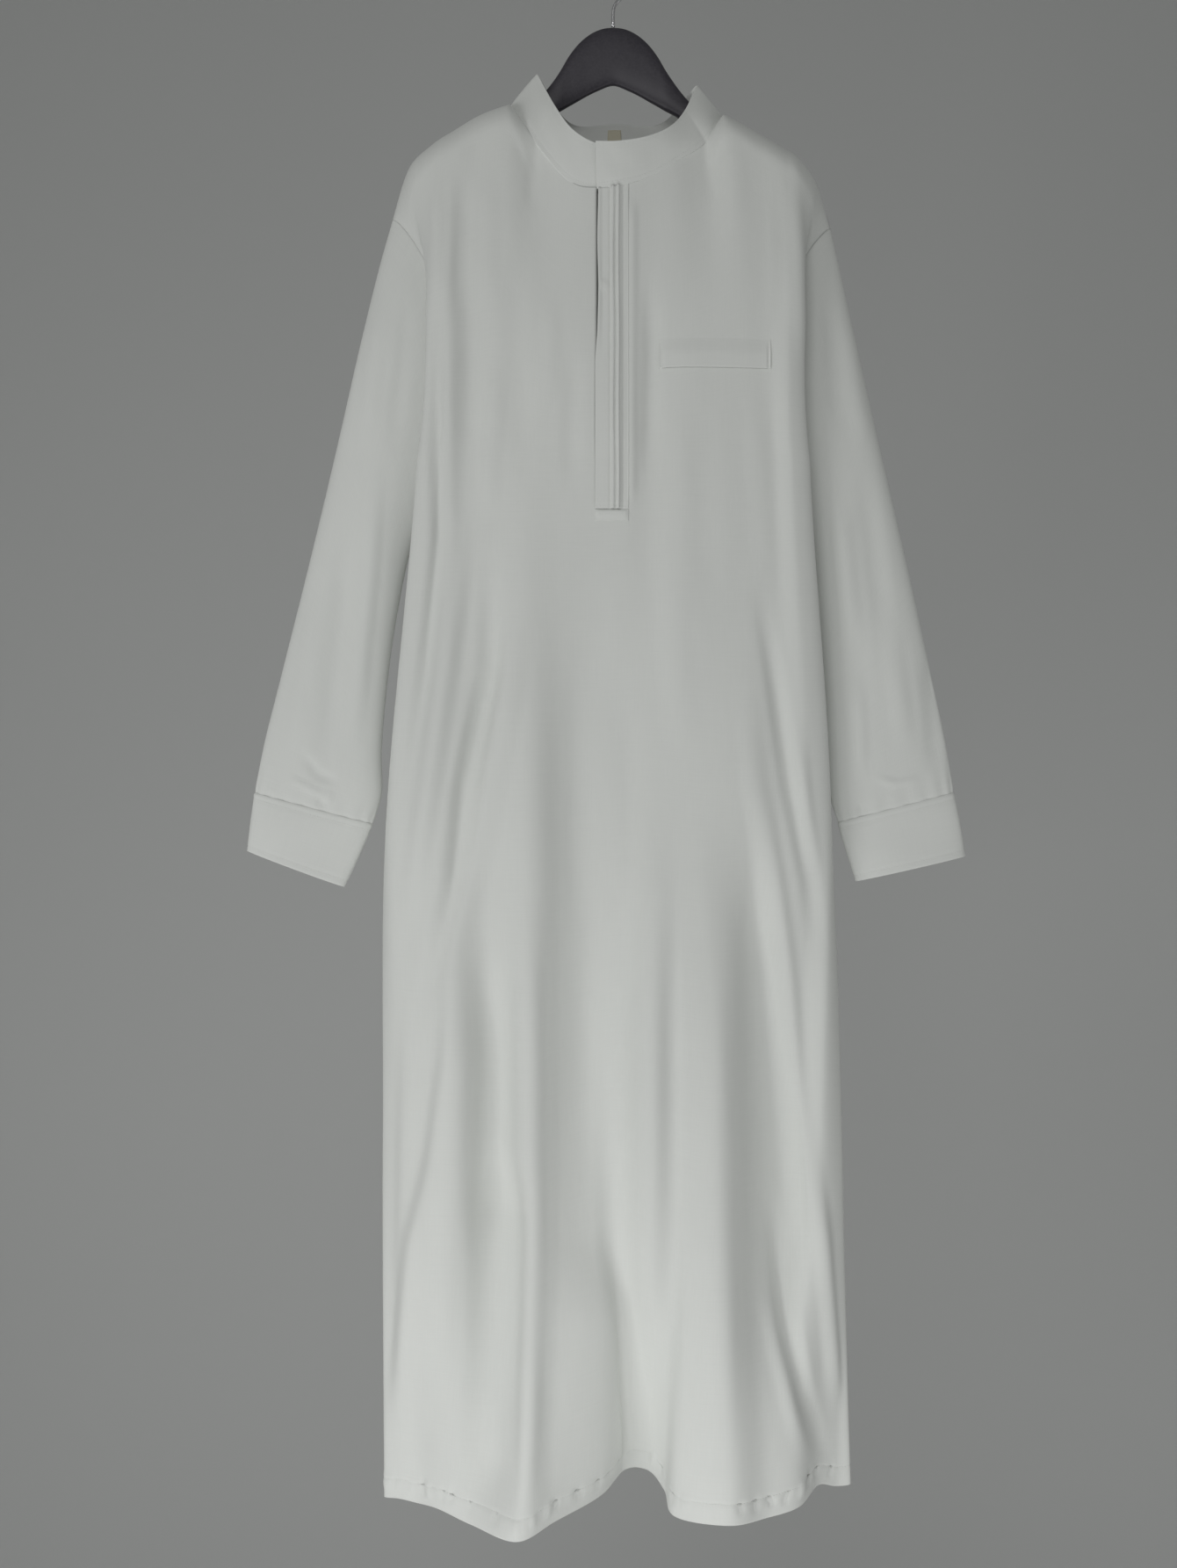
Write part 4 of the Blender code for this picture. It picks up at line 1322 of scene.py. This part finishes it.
@dataclass
class Collar:
    """The stand collar, lapped at the front, with a bare label inside the back."""

    robe: Robe
    lap: float = 2.2  # how far the band's foot covers the neckline
    around: int = 260
    seams: Spot = (0.12, 0.93)  # heights of the rows of stitching, as shares of the band's
    groove: Spot = (0.22, 0.045)  # their depth, and their reach as a share
    slack: float = 0.5  # of the band's bends
    belly: float = 0.7  # how far its middle stands out
    tuck_in: float = 0.25  # how far its foot draws in
    label_rise: Spot = (0.36, 0.84)
    label_depth: float = 1.75  # from the band's middle to the label's, inwards
    station_pace: float = 50.0  # millimetres from one station to the next at the back

    def point(self, s: float, height: float) -> Vector:
        """Point of the collar's middle surface.

        Args:
            s: station position, 0 at the over lap's end and COLLAR_END at the under lap's.
            height: 0 at the foot to 1 at the top.

        Returns:
            The point.
        """
        i = min(int(s), len(COLLAR) - 2)
        a, b = COLLAR[i], COLLAR[i + 1]
        face = Face.BACK if Face.BACK in (a.face, b.face) else Face.FRONT
        panel = self.robe.panel(face)
        ua, ub = panel.u_of(a.fold), panel.u_of(b.fold)
        layer = a.shift + (b.shift - a.shift) * (s - i)
        base = panel.point(ua + (ub - ua) * (s - i), 0) + Vector((0, layer, 0))
        turn = max(k for k in range(3) if s >= COLLAR_TURNS[k])
        first, last = COLLAR_TURNS[turn], COLLAR_TURNS[turn + 1]
        tops = [Vector(c.top) + Vector((0, c.shift, 0)) for c in COLLAR[first : last + 1]]
        top = through(list(range(first, last + 1)), tops, s)
        up = (top - base).normalized()
        foot = base - up * self.lap
        out = Vector((base.x, base.y, 0)).normalized()
        stand = self.belly * math.sin(math.pi * height) - self.tuck_in * (1 - smooth(height * 6))
        return foot.lerp(top, height) + out * stand

    def out(self, s: float, height: float) -> Vector:
        """Direction out of the collar."""
        du = self.point(min(s + 0.03, COLLAR_END), height) - self.point(max(s - 0.03, 0), height)
        dv = self.point(s, min(height + 0.05, 1)) - self.point(s, max(height - 0.05, 0))
        n = du.cross(dv).normalized()
        place = self.point(s, height)
        return n if n.dot(Vector((place.x, place.y, 0))) > 0 else -n

    def face(self, s: float, height: float) -> Vector:
        """Point of the collar with its stitch grooves and slack bends."""
        depth, reach = self.groove
        groove = sum(math.exp(-((height - seam) / reach) ** 2) for seam in self.seams)
        wave = math.sin(s * 2.9 + 4 * height) * math.sin(s * 1.3 + 1)
        ripple = self.slack * wave * math.sin(math.pi * height)
        lean = ripple * smooth(min(s, COLLAR_END - s) / 0.7)
        return self.point(s, height) + self.out(s, height) * (lean - depth * groove)

    def band(self) -> None:
        """Make the collar band."""
        heights = spread((0, 0.05, 0.15, 0.87, 1.0), 0.045)
        bm = lattice(evenly(0, COLLAR_END, self.around), heights, self.face)
        piece = finished("collar_cloth", bm, BAND_CLOTH, DOUBLE_WALL, ("collar_band",))
        roll_edges(piece)

    def label(self) -> None:
        """Make the bare label."""
        low, high = self.label_rise

        def place(x: float, t: float) -> Vector:
            """Point of the label, inside the collar's back."""
            s = COLLAR_BACK - (x - COLLAR[COLLAR_BACK].top[0]) / self.station_pace
            height = high + (low - high) * t
            inwards = self.label_depth - 0.3 * math.sin(math.pi * t)
            return self.face(s, height) - self.out(s, height) * inwards

        bm = lattice(evenly(*LABEL_X, 10), evenly(0, 1, 10), place)
        piece = finished("label_cloth_tab", bm, LABEL_CLOTH, 0.6, ("neck_label",))

    def stitches(self) -> None:
        """Make the stitching along the collar's edges."""

        def spot(s: float, height: float) -> tuple[Vector, Vector]:
            """A place on the band's outer side and the direction out of it."""
            up = self.out(s, height)
            return self.face(s, height) + up * (DOUBLE_WALL / 2), up

        seam = Seam("collar_stitches")
        for height in self.seams:
            seam.run(lambda s: spot(s, height), evenly(0.05, COLLAR_END - 0.05, 300))
        seam.make()

    def make(self) -> None:
        """Make the collar, its label and stitching."""
        self.band()
        self.label()
        self.stitches()


@dataclass
class Sleeve:
    """One sleeve and its cuff."""

    side: Side
    around: int = 104
    rows: int = 190
    gathers: float = 0.35
    start: float = 0.06  # share of its length over which its end is drawn clear of the armhole
    cuff_lap: float = 2.0
    cuff_length: float = 60.0
    cuff_wall: float = 1.6
    cuff_seams: Spot = (0.07, 0.9)  # places of its rows of stitching along the cuff
    cuff_bend: float = 0.7

    def __post_init__(self) -> None:
        """Pick this side's table columns."""
        right = self.side is Side.RIGHT
        self.along = [r.along for r in SLEEVE]
        self.inner = [r.inner_right if right else r.inner_left for r in SLEEVE]
        self.bow = [r.bow_right if right else r.bow_left for r in SLEEVE]
        self.word = self.side.name.lower()
        self.corners = CUFFS[self.side]

    def form(self, angle: float, t: float) -> Vector:
        """Point of the sleeve's main form.

        Args:
            angle: place round it, from the outer edge and down the front.
            t: from the armhole at 0 to the cuff seam at 1.

        Returns:
            The point.
        """
        tip, pit = TIPS[self.side], ARMPITS[self.side]
        seam_out, seam_in = self.corners[:2]
        side = self.side.value
        bow = side * through(self.along, self.bow, t)
        out = (tip[0] + (seam_out[0] - tip[0]) * t + bow, tip[1] + (seam_out[1] - tip[1]) * t)
        inn = (through(self.along, self.inner, t), pit[1] + (seam_in[1] - pit[1]) * t)
        depth = through(self.along, [r.depth for r in SLEEVE], t)
        hollow = max(0.0, through(self.along, [r.hollow for r in SLEEVE], t))
        start = max(0.0, 1 - t / self.start)
        low = (1 - math.cos(angle)) / 2
        point = oval(out, inn, depth, hollow, angle, start * LIFT * 0.75)
        return point + Vector((side * start * (0.3 + 1.3 * low), 0, 0))

    def cuff_form(self, angle: float, t: float) -> Vector:
        """Point of the cuff's main form, from its seam at 0 to its open end at 1."""
        seam_out, seam_in, open_out, open_in = self.corners
        out = tuple(a + (b - a) * t for a, b in zip(seam_out, open_out))
        inn = tuple(a + (b - a) * t for a, b in zip(seam_in, open_in))
        depth = CUFF_DEPTH[0] + (CUFF_DEPTH[1] - CUFF_DEPTH[0]) * max(t, 0.0)
        return oval(out, inn, depth, 0, angle)

    def normal(self, form: Callable[[float, float], Vector], angle: float, t: float) -> Vector:
        """Direction out of a tube."""
        around = form(angle + 0.02, t) - form(angle - 0.02, t)
        along = form(angle, min(t + 0.004, 1)) - form(angle, max(t - 0.004, 0))
        n = around.cross(along).normalized()
        return -n if self.side is Side.RIGHT else n

    def crease(self, angle: float, t: float, place: Vector) -> float:
        """How far the sleeve's creases move it out."""
        face = Face.FRONT if math.sin(angle) > 0 else Face.BACK
        calm = smooth(abs(math.sin(angle)) * 3) * smooth(t / self.start)
        drawn = (c for c in SLEEVE_CREASES[self.side] if c.face is face)
        return calm * sum(c.lift(place.x, place.z) for c in drawn)

    def skin(self, angle: float, t: float) -> Vector:
        """Point of the creased sleeve, drawn in a little where the cuff holds it."""
        spot = self.form(angle, max(t, 0.0))
        up = self.normal(self.form, angle, max(t, 0.0))
        gather = self.gathers * math.sin(angle * 17) * smooth((t - 0.93) / 0.06)
        held = 0.7 * smooth((t - 0.985) / 0.015)
        spot += up * (self.crease(angle, t, spot) + gather - held)
        if t < 0:
            spot += (self.form(angle, 0) - self.form(angle, 0.02)).normalized() * (-t * 600)
        return spot

    def cuff_skin(self, angle: float, t: float) -> Vector:
        """Point of the cuff, lapping the sleeve and slightly bent."""
        spot = self.cuff_form(angle, t)
        up = self.normal(self.cuff_form, angle, t)
        groove = 0.3 * sum(math.exp(-((t - seam) / 0.025) ** 2) for seam in self.cuff_seams)
        wave = math.sin(2.3 * angle + 1.7 * t + self.side.value) * math.sin(math.pi * min(max(t, 0), 1))
        return spot + up * (0.3 + self.cuff_bend * wave - groove)

    def sleeve(self) -> None:
        """Make the sleeve."""
        rows = [-0.012, -0.006] + evenly(0, 0.96, self.rows)
        rows += [0.966, 0.972, 0.978, 0.984, 0.988, 0.992, 0.996, 1.0]
        bm = rolled(rows, self.around, self.skin)
        name = f"sleeve_{self.word}_cloth"
        piece = finished(name, bm, ROBE_CLOTH, WALL, (f"sleeve_{self.word}",))

    def cuff(self) -> None:
        """Make the cuff."""
        rows = spread((-self.cuff_lap / self.cuff_length, *self.cuff_seams, 1.0), 0.035)
        bm = rolled(rows, self.around, self.cuff_skin)
        name = f"cuff_{self.word}_cloth"
        piece = finished(name, bm, BAND_CLOTH, self.cuff_wall, (f"cuff_{self.word}",))
        roll_edges(piece)

    def stitches(self) -> None:
        """Make the cuff's two rows of stitching."""

        def spot(angle: float, t: float) -> tuple[Vector, Vector]:
            """A place on the cuff's outer side and the direction out of it."""
            up = self.normal(self.cuff_form, angle, t)
            return self.cuff_skin(angle, t) + up * (self.cuff_wall / 2), up

        seam = Seam(f"cuff_{self.word}_stitches")
        for t in self.cuff_seams:
            seam.run(lambda angle: spot(angle, t), evenly(0, 2 * math.pi, 150))
        seam.make()

    def make(self) -> None:
        """Make the sleeve, the cuff and its stitching."""
        self.sleeve()
        self.cuff()
        self.stitches()


class Arm(NamedTuple):
    """A section of the hanger at one distance from its middle."""

    x: float
    top: float
    bottom: float
    half: float


@dataclass
class Hanger:
    """The moulded hanger and its wire hook."""

    tilt: float = 0.053
    foot: float = 60.0  # distance from the middle where each arm starts to tilt
    wire: float = 3.6
    radius: float = 21.0
    hook_foot: float = -70.9
    hook_end: float = 205.0  # degrees round the loop
    stem: tuple[Spot, ...] = (
        (0, -66), (0, -60), (0, -56), (0.3, -52.6), (1.6, -48.6), (3.6, -45.6),
        (6.3, -42.8), (9.8, -39.5), (12.4, -36.9),
    )
    arms: tuple[Arm, ...] = (
        Arm(0, -71.8, -130.5, 6.0),
        Arm(15, -74.3, -135.5, 6.0),
        Arm(27, -81.0, -141.3, 6.0),
        Arm(37, -90.3, -147, 6.2),
        Arm(46, -102.3, -152, 6.4),
        Arm(54, -116.2, -156.5, 6.8),
        Arm(63, -129.5, -161, 6.6),
        Arm(74, -143, -167, 6.2),
        Arm(86, -154, -174, 6.0),
        Arm(104, -164.5, -184, 6.4),
        Arm(120, -169, -191, 8.6),
        Arm(138, -174.35, -200, 10.0),
        Arm(165, -188.45, -212, 10.4),
        Arm(182, -201.2, -219, 10.0),
        Arm(190, -208.5, -219.5, 7.0),
    )

    def section(self, angle: float, x: float) -> Vector:
        """Point of the bar's skin.

        Args:
            angle: place round the section.
            x: distance along the hanger, negative to the wearer's right.

        Returns:
            The point.
        """
        far = abs(x)
        mirrored = self.arms[2:0:-1]
        xs = [-a.x for a in mirrored] + [a.x for a in self.arms]
        rows = mirrored + self.arms
        top, bottom, half = (through(xs, [r[k] for r in rows], far) for k in (1, 2, 3))
        middle, tall = (top + bottom) / 2, (top - bottom) / 2
        c, s = math.cos(angle), math.sin(angle)
        y = half * math.copysign(abs(c) ** 0.7, c)
        z = middle + tall * math.copysign(abs(s) ** 0.8, s)
        return Vector((x, y, z - self.tilt * math.copysign(max(0.0, far - self.foot), x)))

    def bar(self) -> None:
        """Make the moulded bar."""
        xs = spread([-a.x for a in reversed(self.arms[1:])] + [a.x for a in self.arms], 2.4)
        bm = rolled(xs, 72, self.section)
        cap_ends(bm)
        finished("hanger_moulding", bm, PLASTIC, replaces=("hanger",))

    def path(self) -> list[Vector]:
        """The wire's centre line, from the foot up and round the loop."""
        centre = self.wire / 2 - self.radius
        line = [(0, self.hook_foot), *self.stem]
        for angle in evenly(-45, self.hook_end, 44):
            turn = math.radians(angle)
            line.append((self.radius * math.cos(turn), centre + self.radius * math.sin(turn)))
        return [Vector((x, 0, z)) for x, z in line]

    def hook(self) -> None:
        """Make the wire hook."""
        path = self.path()
        steps = list(range(len(path)))

        def place(angle: float, k: float) -> Vector:
            """Point of the wire's skin, its tip rounded."""
            i = int(k)
            before, after = path[max(i - 1, 0)], path[min(i + 1, len(path) - 1)]
            along = (after - before).normalized()
            side = along.cross(Vector((0, 1, 0))).normalized()
            reach = self.wire / 2 * (0.55 if i == len(path) - 1 else 1.0)
            return path[i] + side * (reach * math.cos(angle)) + Vector((0, reach * math.sin(angle), 0))

        bm = rolled(steps, 24, place)
        cap_ends(bm)
        finished("hook_wire", bm, STEEL, replaces=("hanger_hook",))

    def make(self) -> None:
        """Make the bar and the hook."""
        self.bar()
        self.hook()


class Softbox(NamedTuple):
    """A square area light, in metres and watts, and what it faces."""

    name: str
    at: Place3
    size: float
    power: float
    aim: Place3 = (0.0, 0.0, -0.95)


@dataclass
class Studio:
    """A seamless pale sweep, soft lights and the camera, in metres."""

    eye: Place3 = (-0.0252, -1.5, -0.846)
    focal_pixels: float = 1666.7
    frame_height: int = 1785
    sensor: float = 36.0  # millimetres
    floor: float = -2.6
    front: float = -5.0
    wall: float = 1.7
    wall_top: float = 3.6
    half_width: float = 5.0
    sweep: float = 0.7  # radius between floor and wall
    paper: Place3 = (0.60, 0.607, 0.60)
    air: Place3 = (0.98, 1.0, 0.98)
    air_strength: float = 0.18
    lights: tuple[Softbox, ...] = (
        Softbox("key", (-1.85, -1.65, -1.35), 0.95, 15.0),
        Softbox("low_fill", (1.29, -1.5, -2.0), 0.95, 5.6),
        Softbox("hem_fill", (-0.55, -1.2, -2.25), 0.5, 5.0, (0.08, 0.0, -1.55)),
        Softbox("hem_near", (0.1, -0.75, -2.0), 0.3, 1.0, (0.02, 0.0, -1.6)),
        Softbox("top_fill", (-0.5, -2.1, 0.3), 0.9, 8.2, (0.0, 0.0, -0.45)),
        Softbox("wall_wash", (2.3, -0.7, -0.8), 1.0, 4.0, (2.1, 1.7, -0.8)),
    )

    def backdrop(self) -> None:
        """Make the sweep of floor and wall."""
        bend = self.wall - self.sweep
        profile = [(self.front, 0.0), (self.front / 2, 0.0), (bend, 0.0)]
        for turn in evenly(0, math.pi / 2, 16)[1:]:
            profile.append((bend + self.sweep * math.sin(turn), self.sweep * (1 - math.cos(turn))))
        profile.append((self.wall, self.wall_top))
        bm = bmesh.new()
        corners = [bm.verts.new((-self.half_width, y, self.floor + z)) for y, z in profile]
        edges = [bm.edges.new(pair) for pair in zip(corners, corners[1:])]
        moved = bmesh.ops.extrude_edge_only(bm, edges=edges)["geom"]
        shift = [g for g in moved if isinstance(g, bmesh.types.BMVert)]
        bmesh.ops.translate(bm, verts=shift, vec=(2 * self.half_width, 0, 0))
        paper = Sketch("sweep_paper")
        paper.shade({"Base Color": (*self.paper, 1), "Roughness": 0.95, "Specular IOR Level": 0.1})
        sweep = smoothed("sweep", bm, paper.material)

    def hang(self, softbox: Softbox) -> None:
        """Hang one light, which lights the robe but doesn't show itself."""
        lamp = bpy.data.lights.new(softbox.name, "AREA")
        lamp.shape = "SQUARE"
        lamp.size = softbox.size
        lamp.energy = softbox.power
        box = placed(softbox.name, lamp)
        box.location = softbox.at
        away = Vector(softbox.aim) - Vector(softbox.at)
        box.rotation_euler = away.to_track_quat("-Z", "Y").to_euler()
        box.visible_camera = False

    def camera(self) -> None:
        """Set up the camera, level and square to the robe."""
        lens = bpy.data.cameras.new("camera")
        lens.sensor_width = self.sensor
        lens.lens = self.sensor * self.focal_pixels / self.frame_height
        camera = placed("camera", lens)
        camera.location = self.eye
        camera.rotation_euler = (math.pi / 2, 0, 0)
        bpy.context.scene.camera = camera

    def make(self) -> None:
        """Set up the sweep, lights, world and camera."""
        self.backdrop()
        for softbox in self.lights:
            self.hang(softbox)
        world = bpy.data.worlds.new("studio")
        world.use_nodes = True
        background = world.node_tree.nodes["Background"]
        background.inputs["Color"].default_value = (*self.air, 1)
        background.inputs["Strength"].default_value = self.air_strength
        bpy.context.scene.world = world
        bpy.context.scene.view_settings.view_transform = "Standard"
        self.camera()


def main() -> None:
    """Dress the frame piece by piece and set up the studio."""
    logging.basicConfig(level=logging.INFO, format="%(message)s")
    robe = Robe()
    for maker in (
        Body(robe),
        Placket(robe),
        Pocket(robe),
        Collar(robe),
        Sleeve(Side.RIGHT),
        Sleeve(Side.LEFT),
        Hanger(),
        Studio(),
    ):
        LOG.info("making %s", type(maker).__name__)
        maker.make()


if __name__ == "__main__":
    main()
